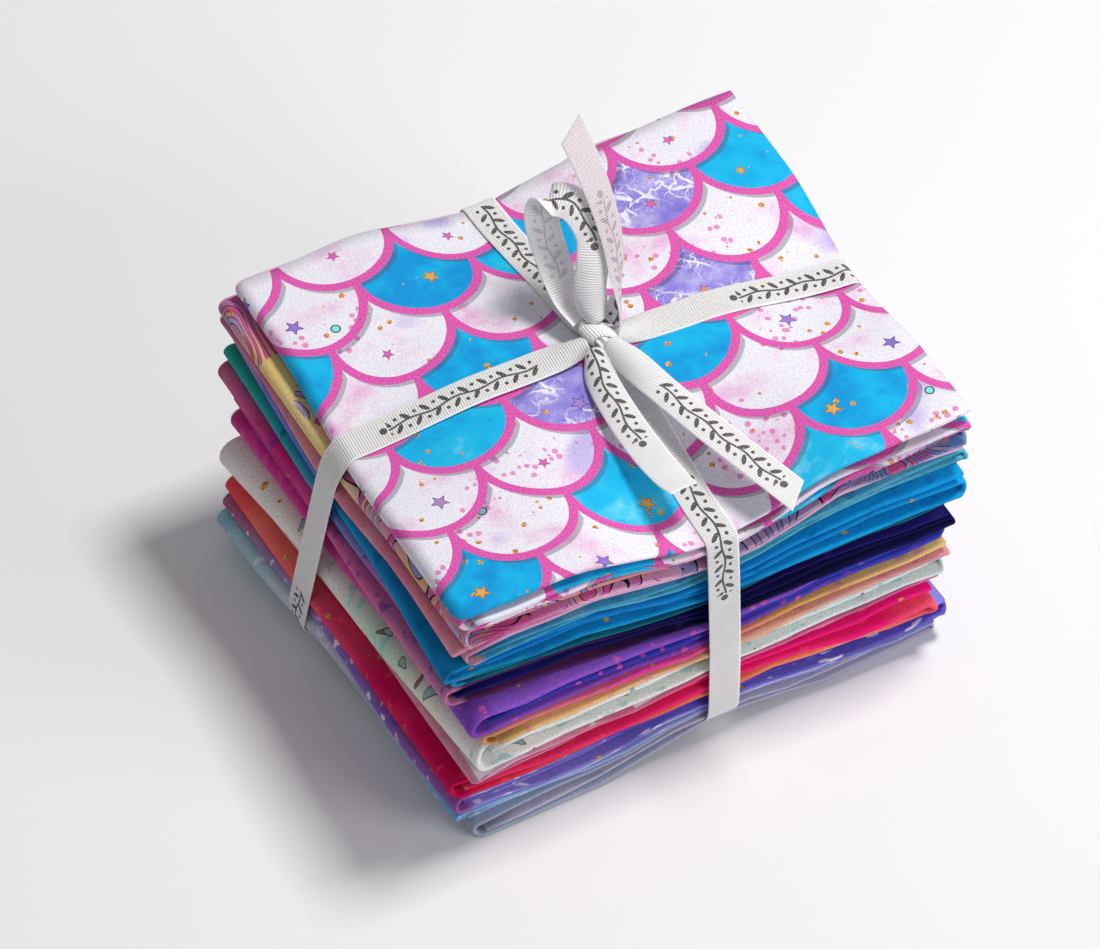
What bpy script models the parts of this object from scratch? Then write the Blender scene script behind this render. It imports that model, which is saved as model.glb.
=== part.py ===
"""Ribbon-tied stack of fifteen fat quarters of quilting cotton, each folded in three, with a bow on top."""
import math
from collections import namedtuple

import bmesh
import bpy
from mathutils import Matrix, Vector

# ---------------------------------------------------------------- sizes, in millimetres
MM = 0.001
STACK_WIDTH = 167.0        # a folded fat quarter along X: 500 mm in three
STACK_DEPTH = 140.0        # along Y: 560 mm in half and in half again
STACK_HEIGHT = 102.0
HALF_W = STACK_WIDTH / 2
HALF_D = STACK_DEPTH / 2
SHIFT_X = 5.13             # puts the middle of the whole bundle on the origin
SHIFT_Y = 1.08

QUARTER_GAP = 0.5          # between one fat quarter and the next
LOWEST_GAP = 0.9           # and this much more over the lowest, whose grid follows the bands
LAYER_SHARE = 0.28         # of the packet's height taken by the top and the bottom layer
TUCK_LOW = 0.38            # heights between which the tucked middle layer lies
TUCK_HIGH = 0.62
TUCK_BACK = 1.2            # how far the tucked end stops short of the left fold
LEFT_ARC = 4               # facets round the wide left fold
RIGHT_ARC = 3              # facets round the narrow right fold
LAYER_STEP = 1.3           # unevenness of the layers' front and back edges

GRID_X = (-62.0, -28.0, 0.0, 28.0, 62.0)
GRID_Y = (-50.0, 0.0, 50.0)

# how far the ribbon squeezes the stack, at the middle of each edge
PinchRow = namedtuple("PinchRow", "edge top bottom reach_in reach_along")
PINCHES = (
    PinchRow("front", 10.5, 6.0, 62.0, 46.0),
    PinchRow("back", 7.0, 4.0, 55.0, 44.0),
    PinchRow("left", 5.0, 4.0, 50.0, 40.0),
    PinchRow("right", 7.0, 4.0, 50.0, 40.0),
)

# Each fat quarter from the top of the stack down.  *_h: height of the packet at that corner.
# *_x, *_y: how far that corner of the packet stands off the even stack.
Quarter = namedtuple(
    "Quarter",
    "name front_h right_h left_h back_h front_x front_y right_x right_y left_x left_y lap colour")
QUARTERS = (
    Quarter("scale_print", 7.5, 9.5, 6.5, 7.0, 1.5, -1.0, 1.0, -2.3, 2.0, 2.2, 0.5, "#EBC7E1"),
    Quarter("yellow", 6.5, 5.0, 6.8, 6.5, 3.0, -0.3, 1.0, -1.0, -3.7, 3.4, 2.5, "#E8CF8C"),
    Quarter("rose", 6.0, 4.5, 4.5, 6.0, 0.0, 0.8, 0.8, 0.4, -3.6, 4.1, 1.5, "#DE93B0"),
    Quarter("aqua", 4.5, 6.5, 4.5, 6.0, 4.2, 1.0, 2.8, 1.5, 1.0, 2.0, 1.0, "#7FCBD8"),
    Quarter("blue", 6.3, 12.5, 4.5, 7.0, -2.2, 2.0, 1.7, -3.2, 0.0, 2.0, 3.0, "#0E96CF"),
    Quarter("teal", 6.0, 4.5, 5.5, 6.0, 0.8, 3.0, -4.0, 0.0, -3.6, 2.4, 1.0, "#2AA79B"),
    Quarter("mauve", 5.0, 5.0, 9.0, 6.5, -2.2, 2.5, -3.1, -4.3, -5.2, 2.0, 2.0, "#CF6A9B"),
    Quarter("violet", 11.5, 9.5, 6.5, 7.0, 2.6, -4.0, -3.2, -0.6, -3.0, -2.0, 2.5, "#7C52B8"),
    Quarter("peach", 7.0, 7.5, 7.5, 7.0, 7.2, -4.3, -2.7, -2.1, -5.8, -3.7, 1.0, "#E6B877"),
    Quarter("white", 11.0, 5.5, 12.5, 7.0, 4.6, -2.0, -3.5, -1.2, -10.7, -6.6, 2.0, "#E4E8E2"),
    Quarter("pink", 4.0, 4.0, 4.0, 5.5, 3.9, -3.3, -6.0, -1.0, -6.0, -5.0, 1.0, "#D97BA6"),
    Quarter("crimson", 8.0, 10.5, 6.8, 7.5, -2.2, -0.8, -7.7, -4.8, -10.6, -8.3, 2.0, "#D6006F"),
    Quarter("galaxy", 6.0, 6.0, 6.0, 6.5, -2.0, -1.3, -2.1, -3.0, -11.1, -8.7, 1.5, "#7A6CC0"),
    Quarter("sky", 5.0, 4.5, 8.0, 7.0, -0.5, -1.0, -6.0, -2.0, -13.7, -8.3, 2.5, "#86BEDC"),
    Quarter("grey", 6.0, 5.0, 7.0, 7.5, 3.3, -4.8, -4.9, 0.2, -9.0, -7.0, 1.5, "#B9B2C4"),
)
BACK_SHARE = 0.5           # the back corner, behind the stack, takes half of its neighbours' offsets

# the ribbon
RIBBON_WIDTH = 10.3
RIBBON_THICK = 1.0
RIBBON_CLEAR = 0.7         # between the ribbon and the cloth it lies on
SIDE_CLEAR = 1.1            # from the outermost edges to the middle of the band
CORNER_RUN = 4.0            # a band starts to turn this far from the edge
RIBBON_COLOUR = "#F1EEE6"
KNOT = (1.3, 0.7, 106.0)
KNOT_REACH = 6.0           # the tied bands stop this far from the middle of the knot
CENTRE_RISE = 2.0          # and lift this much as they come up to it
BAND_TOP_Y = (4.0, -4.0)   # where the crosswise band leaves the top: left edge, right edge
BAND_BOTTOM_Y = (17.0, -3.0)
BAND_TOP_X = (2.0, -1.5)   # where the lengthwise band leaves the top: front edge, back edge
BAND_BOTTOM_X = (3.6, 0.0)
GROOVE_LIFT = 3.3          # the bottom cloth clears the two bands under it by this much
GROOVE_FLAT = 8.0
GROOVE_FOOT = 14.0
LOWER_BAND_Z = 0.2
UPPER_BAND_Z = 1.6
INSET_SHARE = 0.25         # of a packet's height between its corner and where the band touches it
INSET_MOST = 1.6           # and never more than this
CENTRE_RUN = 1.6           # how quickly the band settles onto the cloth as it leaves the knot
UNDER_SPANS = 8            # facets of a band beneath the stack
GATHERED_WIDTH = 0.6       # of the ribbon's width where it goes into the knot

PathRow = namedtuple("PathRow", "x y z across_x across_y across_z width")
LOOP = (
    PathRow(-1.6, 6.6, 109.6, 0.80, -0.60, 0.00, 0.45),
    PathRow(-3.0, 12.4, 114.0, 0.86, -0.50, 0.00, 0.80),
    PathRow(-5.0, 19.5, 124.0, 0.88, -0.47, 0.00, 1.00),
    PathRow(-6.6, 24.6, 136.0, 0.88, -0.40, 0.05, 1.00),
    PathRow(-2.8, 26.2, 143.6, 0.84, 0.30, 0.30, 1.00),
    PathRow(3.0, 22.0, 143.6, 0.66, 0.70, 0.20, 1.00),
    PathRow(5.2, 16.2, 135.5, 0.45, 0.86, 0.00, 1.00),
    PathRow(4.2, 11.6, 125.0, 0.80, 0.50, 0.10, 0.95),
    PathRow(3.0, 7.6, 115.5, 0.95, 0.20, 0.00, 0.80),
    PathRow(2.8, 5.0, 110.6, 0.95, 0.00, 0.10, 0.50),
)
STANDING_TAIL = (
    PathRow(6.9, 2.4, 108.2, 0.20, 0.55, 0.75, 0.50),
    PathRow(9.6, 4.6, 114.5, 0.45, 0.80, 0.20, 0.80),
    PathRow(11.6, 9.6, 124.5, 0.78, 0.60, -0.10, 1.00),
    PathRow(12.0, 15.5, 135.5, 0.86, 0.45, -0.15, 1.00),
    PathRow(11.2, 24.0, 147.5, 0.88, 0.30, -0.15, 1.00),
    PathRow(9.6, 34.0, 158.5, 0.90, 0.20, -0.15, 1.00),
)
LONG_TAIL = (
    PathRow(2.6, -5.6, 106.6, 0.90, 0.10, 0.45, 0.55),
    PathRow(4.2, -13.0, 107.0, 0.92, 0.10, 0.35, 0.85),
    PathRow(7.6, -26.0, 106.6, 0.96, 0.22, 0.00, 1.00),
    PathRow(12.6, -44.0, 106.0, 0.96, 0.25, 0.00, 1.00),
    PathRow(18.4, -62.0, 105.2, 0.95, 0.28, 0.00, 1.00),
    PathRow(23.6, -77.6, 104.2, 0.95, 0.30, 0.00, 1.00),
)
SHORT_TAIL = (
    PathRow(-3.6, -5.0, 105.4, 0.94, -0.15, 0.30, 0.55),
    PathRow(-5.4, -13.0, 104.7, 0.98, -0.10, 0.15, 0.90),
    PathRow(-6.6, -29.0, 104.5, 1.00, -0.04, 0.05, 1.00),
    PathRow(-6.6, -44.0, 104.9, 1.00, 0.00, 0.05, 1.00),
    PathRow(-6.0, -56.0, 106.4, 1.00, 0.00, -0.10, 1.00),
    PathRow(-5.6, -63.0, 108.8, 1.00, 0.00, -0.25, 1.00),
)
CUT_SLANT = 4.5            # the tails are cut on the slant by this much
KNOT_LENGTH = 10.4
KNOT_WIDTH = 8.2
KNOT_HEIGHT = 5.0
KNOT_TURN = -0.62          # radians: the wrap lies across the stack's corner line
KNOT_SIDES = 10
KNOT_RINGS = 7
BAND_STEP = 14.0           # longest stretch of a band between two of its sections
ARC_STEPS = 3              # sections between two rows of a bow's path


# ---------------------------------------------------------------- the shape of the stack
def bump(value):
    """A soft bump: one at nought, nothing from one outwards."""
    if abs(value) >= 1.0:
        return 0.0
    return (1.0 - value * value) ** 2


def pinch(x, y):
    """How far the ribbon pulls the top down and the bottom up at a point of the plan."""
    distances = {
        "front": (HALF_D + y, x - BAND_TOP_X[0]),
        "back": (HALF_D - y, x - BAND_TOP_X[1]),
        "left": (HALF_W + x, y - BAND_TOP_Y[0]),
        "right": (HALF_W - x, y - BAND_TOP_Y[1]),
    }
    top = 0.0
    bottom = 0.0
    for row in PINCHES:
        inward, along = distances[row.edge]
        strength = bump(max(0.0, inward) / row.reach_in) * bump(along / row.reach_along)
        top += row.top * strength
        bottom += row.bottom * strength
    return top, bottom


def share_above(count, x, y):
    """The share of the stack's height taken by the first `count` fat quarters at a point."""
    u = (x + HALF_W) / STACK_WIDTH
    v = (y + HALF_D) / STACK_DEPTH
    above = 0.0
    total = 0.0
    for index, row in enumerate(QUARTERS):
        near = row.front_h + (row.right_h - row.front_h) * u
        far = row.left_h + (row.back_h - row.left_h) * u
        height = near + (far - near) * v
        total += height
        if index < count:
            above += height
    return above / total


def smooth_level(count, x, y):
    """Height of the surface under the first `count` fat quarters."""
    top, bottom = pinch(x, y)
    upper = STACK_HEIGHT - top
    return upper - (upper - bottom) * share_above(count, x, y)


def grid_cell(lines, value):
    """The grid lines on either side of a value, and how far it is between them."""
    low = 0
    for index in range(len(lines) - 1):
        if value >= lines[index]:
            low = index
    start, end = lines[low], lines[low + 1]
    return start, end, (value - start) / (end - start)


LINES_X = (-HALF_W,) + GRID_X + (HALF_W,)
LINES_Y = (-HALF_D,) + GRID_Y + (HALF_D,)
LEVELS = {}


def node_level(count, x, y):
    """The smooth surface at a node of the grid, worked out once."""
    key = (count, x, y)
    if key not in LEVELS:
        LEVELS[key] = smooth_level(count, x, y)
    return LEVELS[key]


def level(count, x, y):
    """The faceted surface under the first `count` fat quarters, shared by both neighbours."""
    x0, x1, u = grid_cell(LINES_X, x)
    y0, y1, v = grid_cell(LINES_Y, y)
    near = node_level(count, x0, y0) * (1 - u) + node_level(count, x1, y0) * u
    far = node_level(count, x0, y1) * (1 - u) + node_level(count, x1, y1) * u
    return near * (1 - v) + far * v


def corner_offsets(row):
    """Offsets of the packet's four corners, the hidden back one from its neighbours."""
    back_x = (row.right_x + row.left_x - row.front_x) * BACK_SHARE
    back_y = (row.right_y + row.left_y - row.front_y) * BACK_SHARE
    return {"front": (row.front_x, row.front_y), "right": (row.right_x, row.right_y),
            "left": (row.left_x, row.left_y), "back": (back_x, back_y)}


def side_x(row, side, y):
    """X of a packet's left or right side at a given Y."""
    corners = corner_offsets(row)
    share = (y + HALF_D) / STACK_DEPTH
    if side == "left":
        return -HALF_W + corners["front"][0] * (1 - share) + corners["left"][0] * share
    return HALF_W + corners["right"][0] * (1 - share) + corners["back"][0] * share


def end_y(row, end, x):
    """Y of a packet's front or back end at a given X."""
    corners = corner_offsets(row)
    share = (x + HALF_W) / STACK_WIDTH
    if end == "front":
        return -HALF_D + corners["front"][1] * (1 - share) + corners["right"][1] * share
    return HALF_D + corners["left"][1] * (1 - share) + corners["back"][1] * share


# ---------------------------------------------------------------- the bands' lines in plan
def band_y(x, ends):
    """Y of the crosswise band at an X, between its left and right crossings."""
    share = (x + HALF_W) / STACK_WIDTH
    return ends[0] + (ends[1] - ends[0]) * share


def band_x(y, ends):
    """X of the lengthwise band at a Y, between its front and back crossings."""
    share = (y + HALF_D) / STACK_DEPTH
    return ends[0] + (ends[1] - ends[0]) * share


def groove(x, y):
    """How far the underside is lifted over the two bands that pass beneath."""
    nearest = min(abs(y - band_y(x, BAND_BOTTOM_Y)), abs(x - band_x(y, BAND_BOTTOM_X)))
    share = (GROOVE_FOOT - nearest) / (GROOVE_FOOT - GROOVE_FLAT)
    return GROOVE_LIFT * min(1.0, max(0.0, share))


# ---------------------------------------------------------------- one folded fat quarter
SectionRow = namedtuple("SectionRow", "side offset outer inner")


def section_rows(height, right_height, line_count, lap):
    """Rows along the folded layers: where each stands, and the shares of height of its two faces."""
    rows = [SectionRow("right", -lap, 1.0, 1.0 - LAYER_SHARE)]
    for index in reversed(range(line_count)):
        rows.append(SectionRow("line", index, 1.0, 1.0 - LAYER_SHARE))
    outer = 0.5
    inner = 0.5 - LAYER_SHARE
    for step in range(LEFT_ARC + 1):
        angle = math.pi / 2 + math.pi * step / LEFT_ARC
        rows.append(SectionRow("left", (outer * height, math.cos(angle), outer, inner),
                               0.5 + outer * math.sin(angle), 0.5 + inner * math.sin(angle)))
    for index in range(line_count):
        rows.append(SectionRow("line", index, 0.0, LAYER_SHARE))
    outer = TUCK_HIGH / 2
    inner = (TUCK_LOW - LAYER_SHARE) / 2
    middle = (TUCK_LOW + LAYER_SHARE) / 2
    for step in range(RIGHT_ARC + 1):
        angle = -math.pi / 2 + math.pi * step / RIGHT_ARC
        rows.append(SectionRow("right_arc", (outer * right_height, math.cos(angle), outer, inner),
                               outer + outer * math.sin(angle), middle + inner * math.sin(angle)))
    for index in reversed(range(line_count)):
        rows.append(SectionRow("line", index, TUCK_HIGH, TUCK_LOW))
    rows.append(SectionRow("left_end", 0.5 * height + TUCK_BACK, TUCK_HIGH, TUCK_LOW))
    return rows


def row_x(section, face, row, lines, y, height):
    """X of one face of a section row at a given Y."""
    if section.side == "line":
        return lines[section.offset]
    if section.side == "right":
        return side_x(row, "right", y) + section.offset
    if section.side == "left_end":
        return side_x(row, "left", y) + section.offset
    reach, cosine, outer, inner = section.offset
    radius = (outer if face == "outer" else inner) * height
    if section.side == "left":
        return side_x(row, "left", y) + reach + radius * cosine
    return side_x(row, "right", y) - reach + radius * cosine


def layer_shift(share, index):
    """Small step of a layer's front and back edge, so that no two layers end quite in line."""
    return LAYER_STEP * math.sin(2.3 * index + 5.2 * share)


def cloth_point(number, x, y, share):
    """A point of a packet's cloth at a share of the packet's own height."""
    top = level(number, x, y) - QUARTER_GAP / 2
    bottom = level(number + 1, x, y) + QUARTER_GAP / 2
    if number == 0:
        top += QUARTER_GAP / 2
    if number == len(QUARTERS) - 1:
        bottom = max(level(number + 1, x, y), groove(x, y))
        top -= LOWEST_GAP
    return Vector((x, y, bottom + (top - bottom) * share))


def plan_lines(number, y):
    """X positions of the lengthwise grid lines at a Y; the bottom packet's follow the band."""
    if number < len(QUARTERS) - 1:
        return GRID_X
    centre = band_x(y, BAND_BOTTOM_X)
    return (GRID_X[0], centre - GROOVE_FOOT, centre - GROOVE_FLAT,
            centre + GROOVE_FLAT, centre + GROOVE_FOOT, GRID_X[-1])


def plan_stations(number):
    """The stations along Y: either plain values, or offsets from the crosswise band."""
    if number < len(QUARTERS) - 1:
        return [("plain", value) for value in GRID_Y]
    offsets = (-GROOVE_FOOT, -GROOVE_FLAT, GROOVE_FLAT, GROOVE_FOOT)
    inner = [("band", value) for value in offsets]
    return [("plain", GRID_Y[0])] + inner + [("plain", GRID_Y[-1])]


def station_y(kind, value, x):
    """Y of an inner station at an X."""
    if kind == "plain":
        return value
    return value + band_y(x, BAND_BOTTOM_Y)


def quarter_grid(number):
    """Vertices of a packet: a list of stations, each a list of (outer, inner) pairs."""
    row = QUARTERS[number]
    stations = [("front", 0.0)] + plan_stations(number) + [("back", 0.0)]
    grid = []
    for kind, value in stations:
        guess = {"front": -HALF_D, "back": HALF_D}.get(kind, value)
        lines = plan_lines(number, guess)
        height = level(number, -HALF_W, guess) - level(number + 1, -HALF_W, guess) - QUARTER_GAP
        right_height = level(number, HALF_W, guess) - level(number + 1, HALF_W, guess) - QUARTER_GAP
        pairs = []
        for section in section_rows(height, right_height, len(lines), row.lap):
            pair = []
            for face, share in (("outer", section.outer), ("inner", section.inner)):
                size = right_height if section.side == "right_arc" else height
                x = row_x(section, face, row, lines, guess, size)
                if kind in ("front", "back"):
                    y = end_y(row, kind, x) + layer_shift(section.outer, number)
                else:
                    y = station_y(kind, value, x)
                pair.append(cloth_point(number, x, y, share))
            pairs.append(pair)
        grid.append(pairs)
    return grid


def split_quad(mesh, corners):
    """Two triangles over a quad, always cut along the same diagonal of the plan."""
    ordered = sorted(range(4), key=lambda i: corners[i].co.x + corners[i].co.y)
    first = ordered[0]
    if ordered[-1] == (first + 2) % 4:
        start = first
    else:
        start = (first + 1) % 4
    a, b, c, d = (corners[(start + step) % 4] for step in range(4))
    for triangle in ((a, b, c), (a, c, d)):
        mesh.faces.new(triangle)


def loft_pairs(name, grid):
    """A closed solid from stations of (outer, inner) pairs along a folded layer."""
    mesh = bmesh.new()
    nodes = [[[mesh.verts.new(point) for point in pair] for pair in pairs] for pairs in grid]
    count = len(nodes[0])
    for near, far in zip(nodes[:-1], nodes[1:]):
        for index in range(count - 1):
            here, there = near[index], near[index + 1]
            far_here, far_there = far[index], far[index + 1]
            split_quad(mesh, (here[0], there[0], far_there[0], far_here[0]))
            split_quad(mesh, (here[1], far_here[1], far_there[1], there[1]))
        split_quad(mesh, (near[0][0], far[0][0], far[0][1], near[0][1]))
        split_quad(mesh, (near[-1][1], far[-1][1], far[-1][0], near[-1][0]))
    for index in range(count - 1):
        here, there = nodes[0][index], nodes[0][index + 1]
        split_quad(mesh, (here[1], there[1], there[0], here[0]))
        here, there = nodes[-1][index], nodes[-1][index + 1]
        split_quad(mesh, (here[0], there[0], there[1], here[1]))
    return finish_mesh(name, mesh)


# ---------------------------------------------------------------- ribbon
def catmull(p0, p1, p2, p3, t):
    """A point of the smooth curve through a run of points."""
    a = p1 * 2.0
    b = (p2 - p0) * t
    c = (p0 * 2.0 - p1 * 5.0 + p2 * 4.0 - p3) * (t * t)
    d = (p1 * 3.0 - p0 - p2 * 3.0 + p3) * (t * t * t)
    return (a + b + c + d) * 0.5


def smooth_path(rows):
    """Samples (point, across, width) of a bow's path between its rows."""
    points = [Vector((row.x, row.y, row.z)) for row in rows]
    acrosses = [Vector((row.across_x, row.across_y, row.across_z)).normalized() for row in rows]
    samples = []
    last = len(rows) - 1
    for index in range(last):
        keys = [max(0, index - 1), index, index + 1, min(last, index + 2)]
        for step in range(ARC_STEPS):
            t = step / ARC_STEPS
            point = catmull(*[points[key] for key in keys], t)
            across = acrosses[index].lerp(acrosses[index + 1], t)
            width = rows[index].width + (rows[index + 1].width - rows[index].width) * t
            samples.append((point, across, width))
    samples.append((points[-1], acrosses[-1], rows[-1].width))
    return samples


def ribbon_strip(name, samples, slant=0.0):
    """The flat middle surface of a ribbon along (point, across, width) samples."""
    mesh = bmesh.new()
    rungs = []
    for index, (point, across, width) in enumerate(samples):
        before = samples[max(0, index - 1)][0]
        after = samples[min(len(samples) - 1, index + 1)][0]
        tangent = (after - before).normalized()
        side = (across - tangent * across.dot(tangent)).normalized()
        half = side * (RIBBON_WIDTH * width / 2)
        cut = tangent * (slant / 2 if index == len(samples) - 1 else 0.0)
        rungs.append((mesh.verts.new(point - half - cut), mesh.verts.new(point + half + cut)))
    for near, far in zip(rungs[:-1], rungs[1:]):
        mesh.faces.new((near[0], near[1], far[1], far[0]))
    return finish_mesh(name, mesh)


def taut(points):
    """The points a tight band touches: the outer hull of (height, outward) pairs."""
    hull = []
    for point in sorted(points, reverse=True):
        while len(hull) >= 2:
            (h0, o0), (h1, o1) = hull[-2], hull[-1]
            turn = (h1 - h0) * (point[1] - o0) - (o1 - o0) * (point[0] - h0)
            if turn > 0.0:
                break
            hull.pop()
        hull.append(point)
    return hull


def edge_reach(row, edge, along):
    """How far out a packet's edge stands under the width of a band."""
    spots = (along - RIBBON_WIDTH / 2, along, along + RIBBON_WIDTH / 2)
    if edge in ("left", "right"):
        return max(abs(side_x(row, edge, spot)) for spot in spots)
    return max(abs(end_y(row, edge, spot)) for spot in spots) + LAYER_STEP


def outward_point(edge, outward, along):
    """Plan position of a point a given way out over an edge."""
    if edge == "left":
        return -outward, along
    if edge == "right":
        return outward, along
    if edge == "front":
        return along, -outward
    return along, outward


def side_profile(edge, plan_top, plan_bottom):
    """(height, outward) points of the packets' edges where a band runs down one side."""
    points = []
    count = len(QUARTERS)
    for number, row in enumerate(QUARTERS):
        share = (number + 0.5) / count
        along = plan_top + (plan_bottom - plan_top) * share
        outward = edge_reach(row, edge, along)
        x, y = outward_point(edge, outward, along)
        top = level(number, x, y)
        bottom = level(number + 1, x, y)
        inset = min(INSET_SHARE * (top - bottom), INSET_MOST)
        points.append((top - inset, outward + SIDE_CLEAR))
        points.append((bottom + inset, outward + SIDE_CLEAR))
    return points


def corner_point(edge, along, sign):
    """Where a band turns over the top edge (sign 1) or under the bottom edge (sign -1)."""
    row = QUARTERS[0] if sign > 0 else QUARTERS[-1]
    count = 0 if sign > 0 else len(QUARTERS)
    outward = edge_reach(row, edge, along)
    heights = []
    for spot in (along - RIBBON_WIDTH / 2, along, along + RIBBON_WIDTH / 2):
        x, y = outward_point(edge, outward, spot)
        heights.append(sign * level(count, x, y))
    height = sign * (max(heights) + SIDE_CLEAR)
    return Vector(outward_point(edge, outward + SIDE_CLEAR / 2, along) + (height,))


def side_points(edge, plan_top, plan_bottom):
    """World points of a band going down one side of the stack, from the top down."""
    chain = taut(side_profile(edge, plan_top, plan_bottom))
    high, low = chain[0][0], chain[-1][0]
    placed = []
    for height, outward in chain:
        share = (high - height) / (high - low)
        along = plan_top + (plan_bottom - plan_top) * share
        placed.append(Vector(outward_point(edge, outward, along) + (height,)))
    return [corner_point(edge, plan_top, 1.0)] + placed + [corner_point(edge, plan_bottom, -1.0)]


def top_run(edge):
    """World points of a band on top of the stack, from the knot out to an edge."""
    knot = Vector(KNOT)
    along = {"left": BAND_TOP_Y[0], "right": BAND_TOP_Y[1],
             "front": BAND_TOP_X[0], "back": BAND_TOP_X[1]}[edge]
    outward = edge_reach(QUARTERS[0], edge, along) - CORNER_RUN
    end = Vector(outward_point(edge, outward, along) + (0.0,))
    flat = Vector((end.x - knot.x, end.y - knot.y, 0.0))
    length = flat.length
    direction = flat / length
    side = Vector((-direction.y, direction.x, 0.0)) * (RIBBON_WIDTH / 2)
    count = max(3, round(length / BAND_STEP))
    points = []
    for index in range(count + 1):
        reach = KNOT_REACH + (length - KNOT_REACH) * index / count
        spot = Vector((knot.x, knot.y, 0.0)) + direction * reach
        heights = [level(0, spot.x + side.x * k, spot.y + side.y * k) for k in (-1.0, 0.0, 1.0)]
        rise = CENTRE_RISE * max(0.0, 1.0 - index * CENTRE_RUN / count) ** 2
        spot.z = max(heights) + RIBBON_CLEAR + RIBBON_THICK / 2 + rise
        points.append(spot)
    return points


def under_run(direction):
    """World points of a band beneath the stack, from left to right or from front to back."""
    points = []
    if direction == "across":
        edges = (("left", -1.0, BAND_BOTTOM_Y[0]), ("right", 1.0, BAND_BOTTOM_Y[1]))
        height = UPPER_BAND_Z
    else:
        edges = (("front", -1.0, BAND_BOTTOM_X[0]), ("back", 1.0, BAND_BOTTOM_X[1]))
        height = LOWER_BAND_Z
    ends = [sign * (edge_reach(QUARTERS[-1], edge, along) - CORNER_RUN * 2)
            for edge, sign, along in edges]
    count = UNDER_SPANS
    for index in range(count + 1):
        along = ends[0] + (ends[1] - ends[0]) * index / count
        z = height + RIBBON_THICK / 2
        if direction == "across":
            points.append(Vector((along, band_y(along, BAND_BOTTOM_Y), z)))
        else:
            points.append(Vector((band_x(along, BAND_BOTTOM_X), along, z)))
    return points


def band(name, first, second, direction):
    """A tied band: from the knot over one edge, beneath the stack and back up to the knot."""
    if direction == "across":
        down = side_points(first, BAND_TOP_Y[0], BAND_BOTTOM_Y[0])
        up = side_points(second, BAND_TOP_Y[1], BAND_BOTTOM_Y[1])
        across = Vector((0.0, 1.0, 0.0))
    else:
        down = side_points(first, BAND_TOP_X[0], BAND_BOTTOM_X[0])
        up = side_points(second, BAND_TOP_X[1], BAND_BOTTOM_X[1])
        across = Vector((-1.0, 0.0, 0.0))
    points = top_run(first) + down + under_run(direction) + up[::-1] + top_run(second)[::-1]
    samples = []
    for index, point in enumerate(points):
        near_knot = index == 0 or index == len(points) - 1
        samples.append((point, across, GATHERED_WIDTH if near_knot else 1.0))
    return ribbon_strip(name, samples)


def knot_body(name):
    """The knot: a small rounded wrap of ribbon lying over the crossing."""
    mesh = bmesh.new()
    bmesh.ops.create_uvsphere(mesh, u_segments=KNOT_SIDES, v_segments=KNOT_RINGS, radius=1.0)
    turn = Matrix.Rotation(math.pi / 2, 3, "Y")
    bmesh.ops.rotate(mesh, verts=mesh.verts, cent=Vector(), matrix=turn)
    bmesh.ops.scale(mesh, verts=mesh.verts, vec=Vector((KNOT_LENGTH / 2, KNOT_WIDTH / 2, KNOT_HEIGHT / 2)))
    bmesh.ops.rotate(mesh, verts=mesh.verts, cent=Vector(), matrix=Matrix.Rotation(KNOT_TURN, 3, "Z"))
    bmesh.ops.translate(mesh, verts=mesh.verts, vec=Vector(KNOT))
    return finish_mesh(name, mesh)


# ---------------------------------------------------------------- objects and materials
def colour_value(text):
    """Linear colour from a hex string."""
    values = []
    for start in (1, 3, 5):
        value = int(text[start:start + 2], 16) / 255.0
        values.append(value / 12.92 if value <= 0.04045 else ((value + 0.055) / 1.055) ** 2.4)
    return (values[0], values[1], values[2], 1.0)


def finish_mesh(name, mesh):
    """Turn a bmesh in millimetres into a mesh in metres with its faces outward."""
    bmesh.ops.recalc_face_normals(mesh, faces=mesh.faces)
    bmesh.ops.translate(mesh, verts=mesh.verts, vec=Vector((SHIFT_X, SHIFT_Y, 0.0)))
    bmesh.ops.scale(mesh, verts=mesh.verts, vec=Vector((MM, MM, MM)))
    data = bpy.data.meshes.new(name)
    mesh.to_mesh(data)
    mesh.free()
    return data


def place(collection, data, colour):
    """Put a mesh into the object's collection with its own material."""
    item = bpy.data.objects.new(data.name, data)
    material = bpy.data.materials.new(data.name + "_cloth")
    material.use_nodes = True
    shader = material.node_tree.nodes["Principled BSDF"]
    shader.inputs["Base Color"].default_value = colour_value(colour)
    shader.inputs["Roughness"].default_value = 0.9
    item.data.materials.append(material)
    collection.objects.link(item)
    return item


def place_ribbon(collection, data):
    """Place a ribbon's middle surface and give it its thickness."""
    item = place(collection, data, RIBBON_COLOUR)
    sheet = item.modifiers.new("thickness", "SOLIDIFY")
    sheet.thickness = RIBBON_THICK * MM
    sheet.offset = 0.0
    sheet.use_even_offset = True
    return item


def main():
    """Build the stack from the top down, then the ribbon."""
    for item in list(bpy.data.objects):
        bpy.data.objects.remove(item, do_unlink=True)
    collection = bpy.data.collections.new("fat_quarter_bundle")
    bpy.context.scene.collection.children.link(collection)
    for number, row in enumerate(QUARTERS):
        data = loft_pairs("fat_quarter_" + row.name, quarter_grid(number))
        place(collection, data, row.colour)
    place_ribbon(collection, band("ribbon_across", "left", "right", "across"))
    place_ribbon(collection, band("ribbon_along", "front", "back", "along"))
    place(collection, knot_body("ribbon_knot"), RIBBON_COLOUR)
    place_ribbon(collection, ribbon_strip("bow_loop", smooth_path(LOOP)))
    place_ribbon(collection, ribbon_strip("standing_tail", smooth_path(STANDING_TAIL), CUT_SLANT))
    place_ribbon(collection, ribbon_strip("long_tail", smooth_path(LONG_TAIL), CUT_SLANT))
    place_ribbon(collection, ribbon_strip("short_tail", smooth_path(SHORT_TAIL), CUT_SLANT))


main()
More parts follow.
